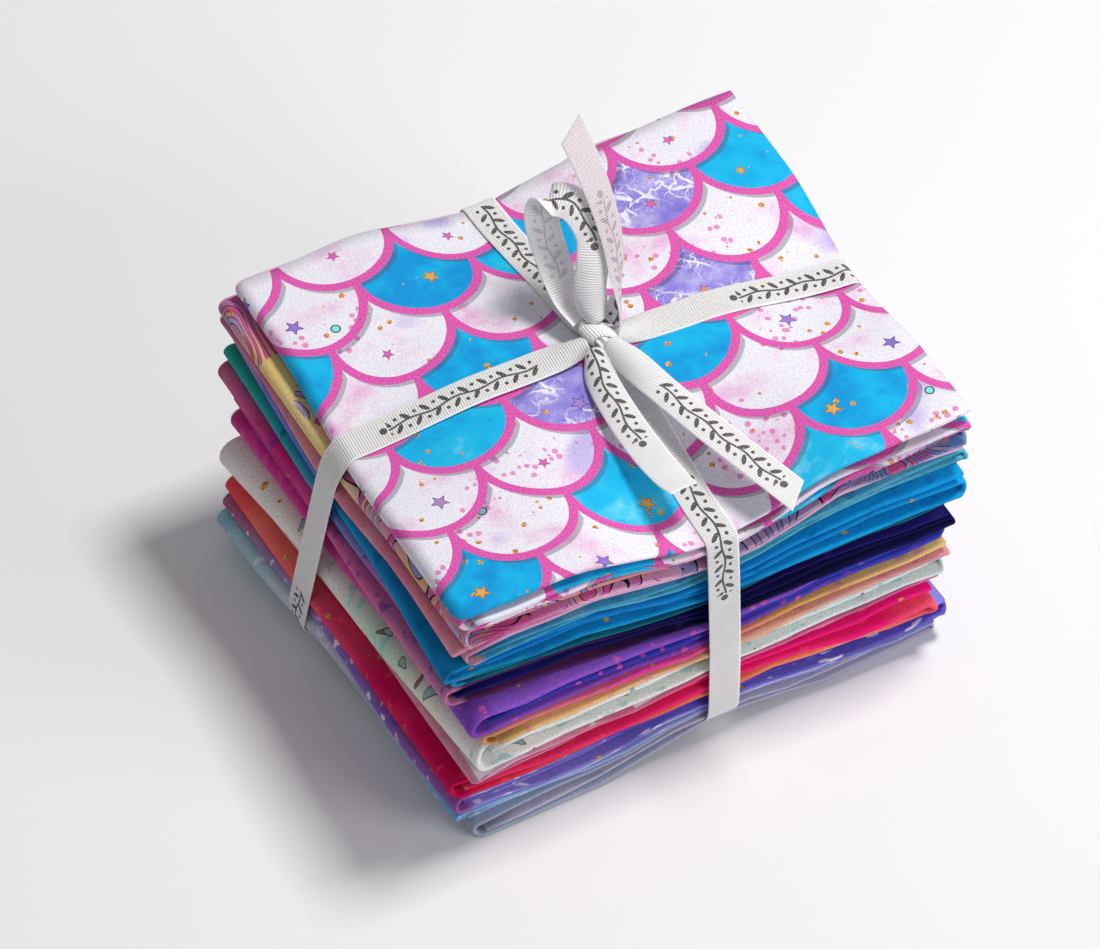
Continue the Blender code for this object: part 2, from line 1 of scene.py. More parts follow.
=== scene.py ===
"""A ribbon-tied stack of fifteen folded fat quarters of printed quilting cotton, with its bow."""
import logging
import math
from collections.abc import Sequence
from dataclasses import dataclass, field
from enum import Enum, IntEnum

import bpy
import numpy as np
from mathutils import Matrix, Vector


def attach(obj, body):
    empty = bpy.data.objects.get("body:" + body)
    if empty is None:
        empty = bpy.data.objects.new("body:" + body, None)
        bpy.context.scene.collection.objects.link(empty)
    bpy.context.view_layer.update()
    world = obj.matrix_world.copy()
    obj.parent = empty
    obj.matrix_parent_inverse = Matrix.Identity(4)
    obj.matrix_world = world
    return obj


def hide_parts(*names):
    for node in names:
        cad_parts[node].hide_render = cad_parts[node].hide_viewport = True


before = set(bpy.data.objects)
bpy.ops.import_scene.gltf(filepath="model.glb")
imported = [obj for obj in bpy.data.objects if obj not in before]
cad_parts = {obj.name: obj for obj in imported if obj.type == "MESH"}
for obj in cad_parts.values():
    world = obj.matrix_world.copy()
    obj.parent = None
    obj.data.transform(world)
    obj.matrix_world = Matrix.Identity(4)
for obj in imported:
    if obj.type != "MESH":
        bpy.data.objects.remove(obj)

LOG = logging.getLogger("fat_quarter_bundle")
MM = 0.001
CUT_WIDTH = 0.50          # a fat quarter before it is folded
CUT_LENGTH = 0.56
UV_NAME = "cut"
Stops = Sequence[tuple[float, str]]


# ---------------------------------------------------------------- named choices
class Edge(Enum):
    """The four sides of the stack."""

    FRONT = "front"
    BACK = "back"
    LEFT = "left"
    RIGHT = "right"


class Held(Enum):
    """How a piece of cloth or ribbon is held."""

    FOLDED = "folded"
    STRETCHED = "stretched"
    DRAPED = "draped"
    LAID = "laid"


class Motif(Enum):
    """The figure a cotton print carries over its clouds of colour."""

    PLAIN = "plain"
    INK_LINES = "ink_lines"
    SPOTS = "spots"
    FIGURES = "figures"


class Fill(Enum):
    """What a scallop of the scale print is filled with, where it isn't white."""

    BLUE = "b"
    VIOLET = "v"


class Region(IntEnum):
    """The stretches of a cut that is folded in three like a letter."""

    TOP = 0
    LEFT_FOLD = 1
    BOTTOM = 2
    RIGHT_FOLD = 3
    TUCKED = 4


# ---------------------------------------------------------------- the shape of the stack
@dataclass(frozen=True)
class Pinch:
    """How the ribbon squeezes the stack at the middle of one edge, in millimetres."""

    edge: Edge
    top: float
    bottom: float
    reach_in: float
    reach_along: float


@dataclass(frozen=True)
class Corners:
    """A packet's heights at its corners and how far each corner stands off the even stack."""

    heights: tuple[float, float, float, float]
    front: tuple[float, float]
    right: tuple[float, float]
    left: tuple[float, float]
    lap: float
    sag: float = 0.3


@dataclass(frozen=True)
class StackShape:
    """Sizes of the whole stack and the levels between its packets, in millimetres."""

    packets: tuple[Corners, ...]
    pinches: tuple[Pinch, ...]
    width: float = 167.0
    depth: float = 140.0
    height: float = 102.0
    shift: tuple[float, float] = (5.13, 1.08)
    back_share: float = 0.5
    ripple: float = 0.5
    groove_lift: float = 1.5
    groove_flat: float = 5.8
    groove_foot: float = 15.0
    top_y: tuple[float, float] = (4.0, -4.0)
    bottom_y: tuple[float, float] = (17.0, -3.0)
    top_x: tuple[float, float] = (2.0, -1.5)
    bottom_x: tuple[float, float] = (3.6, 0.0)

    @staticmethod
    def bump(value: np.ndarray) -> np.ndarray:
        """A soft bump: one at nought and nothing from one outwards."""
        return np.clip(1.0 - np.square(value), 0.0, 1.0) ** 2

    def pinch(self, x: np.ndarray, y: np.ndarray) -> tuple[np.ndarray, np.ndarray]:
        """How far the ribbon pulls the cloth in.

        Args:
            x: Positions along the stack's width.
            y: Positions along its depth.

        Returns:
            How far the top comes down and how far the bottom comes up.
        """
        half_w, half_d = self.width / 2, self.depth / 2
        reach = {
            Edge.FRONT: (half_d + y, x - self.top_x[0]),
            Edge.BACK: (half_d - y, x - self.top_x[1]),
            Edge.LEFT: (half_w + x, y - self.top_y[0]),
            Edge.RIGHT: (half_w - x, y - self.top_y[1]),
        }
        top = np.zeros_like(x)
        bottom = np.zeros_like(x)
        for row in self.pinches:
            inward, along = reach[row.edge]
            strength = self.bump(np.maximum(inward, 0.0) / row.reach_in) * self.bump(along / row.reach_along)
            top = top + row.top * strength
            bottom = bottom + row.bottom * strength
        return top, bottom

    def share_above(self, count: int, x: np.ndarray, y: np.ndarray) -> np.ndarray:
        """The share of the height that the first packets take.

        Args:
            count: How many packets, from the top.
            x: Positions along the width.
            y: Positions along the depth.

        Returns:
            The share, from nought to one.
        """
        u = (x + self.width / 2) / self.width
        v = (y + self.depth / 2) / self.depth
        above = np.zeros_like(x)
        total = np.zeros_like(x)
        for index, packet in enumerate(self.packets):
            front, right, left, back = packet.heights
            near = front + (right - front) * u
            height = near + (left + (back - left) * u - near) * v
            total = total + height
            if index < count:
                above = above + height
        return above / total

    def level(self, count: int, x: np.ndarray, y: np.ndarray) -> np.ndarray:
        """Height of the surface under the first packets, with its gentle waves.

        Args:
            count: How many packets lie above the surface.
            x: Positions along the width.
            y: Positions along the depth.

        Returns:
            Heights above the ground.
        """
        top, bottom = self.pinch(x, y)
        upper = self.height - top
        flat = upper - (upper - bottom) * self.share_above(count, x, y)
        if count in (0, len(self.packets)):
            return flat
        edge = np.maximum(np.abs(x) / (self.width / 2), np.abs(y) / (self.depth / 2))
        wave = (np.sin(x / 9.1 + 1.7 * count) * np.cos(y / 11.3 + 2.9 * count)
                + 0.6 * np.sin(x / 5.2 - y / 14.0 + 0.9 * count)
                + 0.3 * np.sin(x / 2.9 + y / 6.0 + 1.9 * count))
        return flat + self.ripple * wave * np.clip(edge, 0.0, 1.1) ** 3

    def offsets(self, number: int) -> dict[str, tuple[float, float]]:
        """The four corner offsets of a packet, the hidden one worked out from its neighbours.

        Args:
            number: Which packet, from the top.

        Returns:
            How far each named corner stands off the even stack.
        """
        packet = self.packets[number]
        back = tuple((packet.right[i] + packet.left[i] - packet.front[i]) * self.back_share for i in (0, 1))
        return {"front": packet.front, "right": packet.right, "left": packet.left, "back": back}

    def side_x(self, number: int, edge: Edge, y: np.ndarray) -> np.ndarray:
        """X of a packet's left or right side.

        Args:
            number: Which packet, from the top.
            edge: LEFT or RIGHT.
            y: Positions along the depth.

        Returns:
            The side's positions along the width.
        """
        corners = self.offsets(number)
        share = (y + self.depth / 2) / self.depth
        if edge is Edge.LEFT:
            return -self.width / 2 + corners["front"][0] * (1 - share) + corners["left"][0] * share
        return self.width / 2 + corners["right"][0] * (1 - share) + corners["back"][0] * share

    def end_y(self, number: int, edge: Edge, x: np.ndarray) -> np.ndarray:
        """Y of a packet's front or back end.

        Args:
            number: Which packet, from the top.
            edge: FRONT or BACK.
            x: Positions along the width.

        Returns:
            The end's positions along the depth.
        """
        corners = self.offsets(number)
        share = (x + self.width / 2) / self.width
        if edge is Edge.FRONT:
            return -self.depth / 2 + corners["front"][1] * (1 - share) + corners["right"][1] * share
        return self.depth / 2 + corners["left"][1] * (1 - share) + corners["back"][1] * share

    def band_y(self, x: np.ndarray, ends: tuple[float, float]) -> np.ndarray:
        """Y of the crosswise ribbon at an X."""
        return ends[0] + (ends[1] - ends[0]) * (x + self.width / 2) / self.width

    def band_x(self, y: np.ndarray, ends: tuple[float, float]) -> np.ndarray:
        """X of the lengthwise ribbon at a Y."""
        return ends[0] + (ends[1] - ends[0]) * (y + self.depth / 2) / self.depth

    def groove(self, x: np.ndarray, y: np.ndarray) -> np.ndarray:
        """How far the underside is lifted over the ribbons beneath it.

        Args:
            x: Positions along the width.
            y: Positions along the depth.

        Returns:
            The lift, nothing away from the ribbons.
        """
        off_across = np.abs(y - self.band_y(x, self.bottom_y))
        off_along = np.abs(x - self.band_x(y, self.bottom_x))
        nearest = np.minimum(off_across, off_along)
        share = np.clip((self.groove_foot - nearest) / (self.groove_foot - self.groove_flat), 0.0, 1.0)
        return self.groove_lift * share * share * (3 - 2 * share)

    def place(self, points: np.ndarray) -> np.ndarray:
        """Points of the stack in millimetres, moved to the frame and turned into metres."""
        moved = points + np.array([self.shift[0], self.shift[1], 0.0])
        return moved * MM


# ---------------------------------------------------------------- drawing finishes
def linear(text: str) -> tuple[float, float, float, float]:
    """A linear colour from a hex string.

    Args:
        text: Six hex digits after a hash.

    Returns:
        Red, green, blue and alpha.
    """
    values = []
    for start in (1, 3, 5):
        value = int(text[start:start + 2], 16) / 255.0
        values.append(value / 12.92 if value <= 0.04045 else ((value + 0.055) / 1.055) ** 2.4)
    return (values[0], values[1], values[2], 1.0)


class Wire:
    """One value in a material's graph, with arithmetic on it."""

    def __init__(self, sketch: "Sketch", socket: bpy.types.NodeSocket) -> None:
        """Keep the graph and the socket the value comes out of."""
        self.sketch = sketch
        self.socket = socket

    def __add__(self, other: "Wire | float") -> "Wire":
        """Sum."""
        return self.sketch.math("ADD", self, other)

    def __sub__(self, other: "Wire | float") -> "Wire":
        """Difference."""
        return self.sketch.math("SUBTRACT", self, other)

    def __mul__(self, other: "Wire | float") -> "Wire":
        """Product."""
        return self.sketch.math("MULTIPLY", self, other)

    def __truediv__(self, other: "Wire | float") -> "Wire":
        """Quotient."""
        return self.sketch.math("DIVIDE", self, other)

    def below(self, other: "Wire | float") -> "Wire":
        """One where this is less than the other."""
        return self.sketch.math("LESS_THAN", self, other)

    def above(self, other: "Wire | float") -> "Wire":
        """One where this is more than the other."""
        return self.sketch.math("GREATER_THAN", self, other)

    def one(self, operation: str) -> "Wire":
        """A one-value operation such as SINE, FLOOR or ABSOLUTE."""
        return self.sketch.math(operation, self)

    def ease(self, low: float, high: float) -> "Wire":
        """A smooth step from nought at low to one at high."""
        return self.sketch.ease(self, low, high)


class Sketch:
    """Draws a material's node graph in a maker's terms."""

    def __init__(self, name: str) -> None:
        """Start a material with an empty graph and its shader.

        Args:
            name: The material's name.
        """
        self.material = bpy.data.materials.new(name)
        self.material.use_nodes = True
        self.tree = self.material.node_tree
        self.shader = self.tree.nodes["Principled BSDF"]

    def feed(self, socket: bpy.types.NodeSocket, value: "Wire | float | str") -> None:
        """Link a wire to a socket, or set the socket to a constant.

        Args:
            socket: The input to feed.
            value: The wire, the number or the hex colour.
        """
        if isinstance(value, Wire):
            self.tree.links.new(value.socket, socket)
        elif isinstance(value, str):
            socket.default_value = linear(value)
        else:
            socket.default_value = value

    def math(self, operation: str, *values: "Wire | float") -> Wire:
        """A Math node.

        Args:
            operation: The node's operation.
            values: Its inputs in order.

        Returns:
            The node's result.
        """
        node = self.tree.nodes.new("ShaderNodeMath")
        node.operation = operation
        for socket, value in zip(node.inputs, values):
            self.feed(socket, value)
        return Wire(self, node.outputs[0])

    def ease(self, value: Wire, low: float, high: float) -> Wire:
        """A smooth step from low to high.

        Args:
            value: What is compared.
            low: Where the result is nought.
            high: Where the result is one; it may be less than low, for a falling step.

        Returns:
            Values from nought to one.
        """
        node = self.tree.nodes.new("ShaderNodeMapRange")
        node.interpolation_type = "SMOOTHSTEP"
        self.feed(node.inputs["Value"], value)
        flip = high < low
        self.feed(node.inputs["From Min"], high if flip else low)
        self.feed(node.inputs["From Max"], low if flip else high)
        self.feed(node.inputs["To Min"], 1.0 if flip else 0.0)
        self.feed(node.inputs["To Max"], 0.0 if flip else 1.0)
        return Wire(self, node.outputs["Result"])

    def point(self, x: "Wire | float", y: "Wire | float", z: "Wire | float" = 0.0) -> Wire:
        """Three values joined into a vector.

        Args:
            x: First value.
            y: Second value.
            z: Third value, which often serves as a seed.

        Returns:
            The vector.
        """
        node = self.tree.nodes.new("ShaderNodeCombineXYZ")
        for socket, value in zip(node.inputs, (x, y, z)):
            self.feed(socket, value)
        return Wire(self, node.outputs[0])

    def noise(self, where: Wire, scale: float, detail: float = 2.0, rough: float = 0.5) -> Wire:
        """Soft clouds of value about a half.

        Args:
            where: Coordinates.
            scale: Clouds per unit.
            detail: Octaves.
            rough: Strength of the finer octaves.

        Returns:
            Values from nought to one.
        """
        node = self.tree.nodes.new("ShaderNodeTexNoise")
        self.feed(node.inputs["Vector"], where)
        self.feed(node.inputs["Scale"], scale)
        self.feed(node.inputs["Detail"], detail)
        self.feed(node.inputs["Roughness"], rough)
        return Wire(self, node.outputs[0])

    def cells(self, where: Wire, scale: float, feature: str = "F1") -> tuple[Wire, Wire]:
        """Scattered cells.

        Args:
            where: Coordinates.
            scale: Cells per unit.
            feature: F1 for distance to a centre, DISTANCE_TO_EDGE for the veins between cells.

        Returns:
            The distance, in cells, and a random value of the cell.
        """
        node = self.tree.nodes.new("ShaderNodeTexVoronoi")
        node.feature = feature
        self.feed(node.inputs["Vector"], where)
        self.feed(node.inputs["Scale"], scale)
        if feature == "DISTANCE_TO_EDGE":
            return Wire(self, node.outputs["Distance"]), Wire(self, node.outputs["Distance"])
        split = self.tree.nodes.new("ShaderNodeSeparateColor")
        self.tree.links.new(node.outputs["Color"], split.inputs[0])
        return Wire(self, node.outputs["Distance"]), Wire(self, split.outputs[0])

    def chance(self, x: Wire, y: Wire, seed: float) -> Wire:
        """A random value for each whole-number pair.

        Args:
            x: First whole number.
            y: Second whole number.
            seed: Picks another set of values.

        Returns:
            Values from nought to one.
        """
        node = self.tree.nodes.new("ShaderNodeTexWhiteNoise")
        node.noise_dimensions = "3D"
        self.feed(node.inputs["Vector"], self.point(x, y, seed))
        return Wire(self, node.outputs["Value"])

    def blend(self, share: "Wire | float", under: "Wire | str", over: "Wire | str") -> Wire:
        """One colour laid over another.

        Args:
            share: How much of the upper colour shows.
            under: The lower colour, as a wire or in hex.
            over: The upper colour, as a wire or in hex.

        Returns:
            The mixed colour.
        """
        node = self.tree.nodes.new("ShaderNodeMix")
        node.data_type = "RGBA"
        self.feed(node.inputs[0], share)
        self.feed(node.inputs[6], under)
        self.feed(node.inputs[7], over)
        return Wire(self, node.outputs[2])

    def choose(self, share: Wire, first: Wire, second: Wire) -> Wire:
        """The first value where the share is nought, the second where it is one."""
        return first + (second - first) * share

    def ramp(self, value: Wire, stops: Stops) -> Wire:
        """Colours along a run of stops.

        Args:
            value: Where along the run.
            stops: Positions from nought to one, each with a hex colour.

        Returns:
            The colour.
        """
        node = self.tree.nodes.new("ShaderNodeValToRGB")
        self.feed(node.inputs[0], value)
        elements = node.color_ramp.elements
        while len(elements) < len(stops):
            elements.new(0.5)
        for element, (position, colour) in zip(elements, sorted(stops)):
            element.position = position
            element.color = linear(colour)
        return Wire(self, node.outputs[0])

    def relief(self, height: Wire, strength: float, distance: float) -> None:
        """Bump on the shader's normal.

        Args:
            height: Heights from nought to one.
            strength: How strongly the bump shows.
            distance: Metres from the lowest to the highest.
        """
        node = self.tree.nodes.new("ShaderNodeBump")
        node.inputs["Strength"].default_value = strength
        node.inputs["Distance"].default_value = distance
        self.feed(node.inputs["Height"], height)
        self.tree.links.new(node.outputs["Normal"], self.shader.inputs["Normal"])

    def finish(self, colour: Wire, rough: float, sheen: float) -> bpy.types.Material:
        """Set the colour and the cloth's gloss.

        Args:
            colour: The base colour.
            rough: Roughness.
            sheen: Weight of the fibres' sheen.

        Returns:
            The finished material.
        """
        self.feed(self.shader.inputs["Base Color"], colour)
        self.shader.inputs["Roughness"].default_value = rough
        self.shader.inputs["Sheen Weight"].default_value = sheen
        self.shader.inputs["Sheen Roughness"].default_value = 0.5
        self.shader.inputs["Specular IOR Level"].default_value = 0.12
        return self.material


class ClothSketch(Sketch):
    """A material drawn over a piece's own flat coordinates, in metres along it and across it."""

    def __init__(self, name: str) -> None:
        """Start the material and read the flat coordinates.

        Args:
            name: The material's name.
        """
        super().__init__(name)
        node = self.tree.nodes.new("ShaderNodeUVMap")
        node.uv_map = UV_NAME
        split = self.tree.nodes.new("ShaderNodeSeparateXYZ")
        self.tree.links.new(node.outputs["UV"], split.inputs[0])
        self.u = Wire(self, split.outputs[0])
        self.v = Wire(self, split.outputs[1])

    def clouds(self, seed: float, scale: float, detail: float = 2.0, rough: float = 0.5) -> Wire:
        """Noise over the cloth, each seed its own."""
        return self.noise(self.point(self.u, self.v, seed), scale, detail, rough)

    def scatter(self, seed: float, scale: float, feature: str = "F1") -> tuple[Wire, Wire]:
        """Cells over the cloth, each seed its own."""
        return self.cells(self.point(self.u, self.v, seed), scale, feature)

    def threads(self) -> Wire:
        """Fine plain-weave threads.

        Returns:
            Thread height from nought to one.
        """
        along = self.noise(self.point(self.u * 1000.0, self.v * 2500.0, 1.0), 1.0, 0.0)
        across = self.noise(self.point(self.u * 2500.0, self.v * 1000.0, 7.0), 1.0, 0.0)
        return (along + across) * 0.5

    def gold(self, scale: float, dark: str, bright: str) -> Wire:
        """The grainy colour of gold specks, from dark to bright."""
        return self.blend(self.clouds(4.0, scale, 1.0).ease(0.4, 0.6), dark, bright)

    def cotton(self, colour: Wire, shade: float, dark: str, bump: float) -> bpy.types.Material:
        """Finish printed cotton with its threads, painting shade into the hollows between them.

        Args:
            colour: The print.
            shade: Strength of the painted shade in the hollows between threads.
            dark: Colour of that painted shade.
            bump: How strongly the threads stand out.

        Returns:
            The finished material.
        """
        threads = self.threads()
        # painted shade: the hollows between the threads are darkened towards the dark colour
        colour = self.blend(threads.ease(0.62, 0.34) * shade, colour, dark)
        self.relief(threads, bump, 0.00025)
        return self.finish(colour, 0.95, 0.02)


@dataclass(frozen=True)
class CloudCotton:
    """Quilting cotton printed with drifting clouds of colour and gold specks."""

    name: str
    left: Stops
    front: Stops
    accent: str
    accent_share: float = 0.35
    bits: str = "#F2E4EE"
    bits_share: float = 0.55
    speck: str = "#B8742A"
    speck_share: float = 0.10
    motif: Motif = Motif.PLAIN
    seed: float = 0.0

    def ink_lines(self, sketch: ClothSketch, colour: Wire) -> Wire:
        """Dark line work with bright strips between, as on a drawn mane.

        Args:
            sketch: The graph.
            colour: What lies beneath.

        Returns:
            The colour with its lines.
        """
        bend = sketch.clouds(self.seed, 34.0, 1.0)
        wave = sketch.u * 60.0 + sketch.v * 90.0 + bend * 15.0
        saw = wave - wave.one("FLOOR")
        patch = sketch.clouds(self.seed, 44.0, 0.0)
        where_on = patch.ease(0.33, 0.35)
        strip = saw.above(0.28) * saw.below(0.74) * where_on
        tints = [(0.42, "#D9609E"), (0.50, "#BFAAD0"), (0.58, "#9A94C4")]
        colour = sketch.blend(strip, colour, sketch.ramp(sketch.clouds(self.seed, 60.0, 0.0), tints))
        line = (saw - 0.28).one("ABSOLUTE").below(0.038)
        other = (saw - 0.74).one("ABSOLUTE").below(0.038)
        ink = sketch.math("MAXIMUM", line, other) * where_on
        return sketch.blend(ink, colour, "#2C2330")

    def spots(self, sketch: ClothSketch, colour: Wire) -> Wire:
        """Small splashes of pink over the clouds.

        Args:
            sketch: The graph.
            colour: What lies beneath.

        Returns:
            The colour with its splashes.
        """
        distance, pick = sketch.scatter(self.seed + 2.0, 260.0)
        mark = distance.below(0.28) * pick.above(0.55)
        return sketch.blend(mark * 0.85, colour, "#D85CB0")

    def figures(self, sketch: ClothSketch, colour: Wire) -> Wire:
        """A few little outlined shapes in gold, mint and plum.

        Args:
            sketch: The graph.
            colour: What lies beneath.

        Returns:
            The colour with its shapes.
        """
        bend = sketch.clouds(self.seed + 1.0, 120.0, 1.0) * 0.012
        where = sketch.point(sketch.u + bend, sketch.v - bend, self.seed + 4.0)
        distance, pick = sketch.cells(where, 140.0)
        seen = pick.above(0.58)
        tints = [(0.52, "#D9A24C"), (0.66, "#7FD8D0"), (0.80, "#C58A3C"), (0.90, "#8C4A78")]
        colour = sketch.blend(distance.below(0.26) * seen * 0.8, colour, "#4A3A3C")
        return sketch.blend(distance.below(0.21) * seen, colour, sketch.ramp(pick, tints))

    def make(self) -> bpy.types.Material:
        """Draw the printed side.

        Returns:
            The material.
        """
        sketch = ClothSketch(self.name)
        u, v = sketch.u, sketch.v
        drift = (sketch.clouds(self.seed, 30.0, 3.0) - 0.5) * 0.34
        side = sketch.ramp(v / 0.14 + drift, self.left)
        fore = sketch.ramp(u / CUT_WIDTH + drift * 0.35, self.front)
        near_fold = (u - CUT_WIDTH / 3).one("ABSOLUTE").ease(0.0105, 0.0075)
        colour = sketch.blend(near_fold, fore, side)
        cloud = sketch.clouds(self.seed + 3.0, 75.0, 4.0, 0.6)
        colour = sketch.blend(cloud.ease(0.48, 0.72) * self.accent_share, colour, self.accent)
        bits = sketch.noise(sketch.point(u * 0.6, v, self.seed + 6.0), 230.0, 1.0)
        colour = sketch.blend(bits.ease(0.62, 0.68) * self.bits_share, colour, self.bits)
        if self.motif is Motif.INK_LINES:
            colour = self.ink_lines(sketch, colour)
        elif self.motif is Motif.SPOTS:
            colour = self.spots(sketch, colour)
        elif self.motif is Motif.FIGURES:
            colour = self.figures(sketch, colour)
        distance, pick = sketch.scatter(self.seed + 9.0, 190.0)
        size = (pick - (1.0 - self.speck_share)) * 2.4
        gold = sketch.gold(900.0, self.speck, "#E9B660")
        colour = sketch.blend(distance.below(sketch.math("MINIMUM", size, 0.2)), colour, gold)
        # threads with painted shade of #1E1830 in their hollows
        return sketch.cotton(colour, 0.20, "#1E1830", 0.6)


@dataclass(frozen=True)
class ScalePrint:
    """Cotton printed with overlapping scallops outlined in pink."""

    name: str = "cotton_scale_print"
    pitch: float = 0.036
    row: float = 0.0187
    turn: float = 0.036
    origin: tuple[float, float] = (-0.208, -0.068)
    radius: float = 0.5417
    line: float = 0.073
    slip: float = 0.022
    drop: float = 0.038
    star_reach: float = 0.068
    star_rim: float = 0.016
    star_spread: float = 0.52
    star_fall: tuple[float, float] = (0.14, 0.16)
    seed: float = 3.0
    plan: tuple[str, ...] = ("wwwww", "vbbwb", "wwwwb", "vwbww", "wbvbw",
                             "wwwww", "bwbww", "bwwbw", "wwbww", "wwwwb")

    def disc(self, a: Wire, y: Wire, row: Wire) -> tuple[Wire, Wire, Wire, Wire]:
        """Where a point stands in the nearest scallop of a row.

        Args:
            a: Position along the rows, in pitches.
            y: Position down the rows, in pitches.
            row: Which row.

        Returns:
            Offset along, offset down, distance from the centre, and the scallop's number.
        """
        odd = (row * 0.5 - (row * 0.5).one("FLOOR"))
        count = (a - odd).one("FLOOR")
        along = a - count - odd - 0.5
        down = y - row * (self.row / self.pitch)
        distance = (along * along + down * down).one("SQRT")
        return along, down, distance, count

    def filled(self, sketch: ClothSketch, row: Wire, count: Wire, fill: Fill) -> Wire:
        """Whether a scallop has a fill in the print's repeat.

        Args:
            sketch: The graph.
            row: The scallop's row.
            count: Its number in the row.
            fill: The fill asked about.

        Returns:
            One if it has it and nought if not.
        """
        width = len(self.plan[0])
        place = (sketch.math("FLOORED_MODULO", row, float(len(self.plan))) * float(width)
                 + sketch.math("FLOORED_MODULO", count, float(width)))
        spots = [k for k, letter in enumerate("".join(self.plan)) if letter == fill.value]
        found = sketch.math("COMPARE", place, float(spots[0]), 0.5)
        for spot in spots[1:]:
            found = found + sketch.math("COMPARE", place, float(spot), 0.5)
        return found

    def star(self, sketch: ClothSketch, x: Wire, y: Wire, radius: float, spin: float) -> Wire:
        """A five-pointed star's inside, as one or nought.

        Args:
            sketch: The graph.
            x: Offset from its centre.
            y: Offset from its centre.
            radius: Reach of its points.
            spin: Turn in radians.

        Returns:
            One inside and nought outside.
        """
        sector = 2 * math.pi / 5
        angle = sketch.math("ARCTAN2", y, x) + spin
        folded = (angle / sector - (angle / sector).one("ROUND")).one("ABSOLUTE") * sector
        reach = (x * x + y * y).one("SQRT")
        inner = radius * 0.45
        edge_a = inner * math.sin(sector / 2)
        edge_b = radius - inner * math.cos(sector / 2)
        value = reach * (folded.one("COSINE") * edge_a + folded.one("SINE") * edge_b)
        return value.below(radius * edge_a)

    def shadow(self, along: Wire, down: Wire) -> Wire:
        """Whether a point is in the grey shadow printed beside a scallop's lower edge.

        Args:
            along: Offset along the scallop.
            down: Offset down the scallop.

        Returns:
            One inside the shifted disc and nought outside it.
        """
        x = along + self.slip
        y = down - self.drop
        return (x * x + y * y).one("SQRT").below(self.radius)

    def white_fill(self, sketch: ClothSketch, pick: Wire) -> Wire:
        """White scallops with pink and lilac washes and splashes.

        Args:
            sketch: The graph.
            pick: A random value of the scallop.

        Returns:
            The colour.
        """
        wash = sketch.clouds(11.0, 62.0, 3.0, 0.55)
        tints = [(0.36, "#E6E5F0"), (0.50, "#E9E6F1"), (0.60, "#E9D4E8"), (0.70, "#E4B2D8")]
        colour = sketch.ramp(wash, tints)
        lilac = sketch.clouds(23.0, 44.0, 1.0)
        colour = sketch.blend(lilac.ease(0.58, 0.70) * pick.above(0.72) * 0.8, colour, "#B9A8E4")
        splash = sketch.clouds(31.0, 46.0, 0.0).ease(0.58, 0.61)
        distance, chance = sketch.scatter(17.0, 420.0)
        mark = distance.below(0.40) * chance.above(0.55) * splash
        return sketch.blend(mark * 0.8, colour, "#DF6FB4")

    def violet_fill(self, sketch: ClothSketch) -> Wire:
        """Violet scallops with branching white veins.

        Args:
            sketch: The graph.

        Returns:
            The colour.
        """
        cloud = sketch.clouds(5.0, 110.0, 4.0, 0.6)
        colour = sketch.ramp(cloud, [(0.35, "#7A6CD0"), (0.55, "#9A90DC"), (0.72, "#BDB6E8")])
        warp = sketch.clouds(2.0, 190.0, 2.0) * 0.010
        u, v = sketch.u, sketch.v
        edge, _ = sketch.cells(sketch.point(u + warp, v - warp, 8.0), 150.0, "DISTANCE_TO_EDGE")
        gate = sketch.clouds(41.0, 70.0, 1.0).ease(0.42, 0.58)
        colour = sketch.blend(edge.ease(0.075, 0.02) * gate, colour, "#F0ECFA")
        fine, _ = sketch.cells(sketch.point(u + warp, v + warp, 3.0), 330.0, "DISTANCE_TO_EDGE")
        return sketch.blend(fine.ease(0.05, 0.01) * gate * 0.55, colour, "#E4DFF7")

    def blue_fill(self, sketch: ClothSketch, pick: Wire) -> Wire:
        """Bright blue scallops, some of them paler and watery.

        Args:
            sketch: The graph.
            pick: A random value of the scallop.

        Returns:
            The colour.
        """
        cloud = sketch.clouds(15.0, 85.0, 3.0, 0.6) + (pick - 0.5) * 0.40
        tints = [(0.28, "#0494D8"), (0.48, "#06B2E8"), (0.66, "#1CBCEA"), (0.85, "#74D2F0")]
        return sketch.ramp(cloud, tints)

    def dots(self, sketch: ClothSketch, colour: Wire) -> Wire:
        """Gold dots in loose groups, and a few tiny outlined bubbles.

        Args:
            sketch: The graph.
            colour: What lies beneath.

        Returns:
            The colour with its dots.
        """
        group = sketch.clouds(51.0, 95.0, 0.0).ease(0.47, 0.50)
        distance, chance = sketch.scatter(61.0, 280.0)
        size = (chance - 0.50) * 0.75
        gold = sketch.gold(1500.0, "#B0682A", "#EAB660")
        colour = sketch.blend(distance.below(sketch.math("MINIMUM", size, 0.26)) * group, colour, gold)
        distance, chance = sketch.scatter(71.0, 150.0)
        seen = chance.above(0.955)
        colour = sketch.blend(distance.below(0.23) * seen, colour, "#3B2A3D")
        return sketch.blend(distance.below(0.17) * seen, colour, "#7FE3DC")

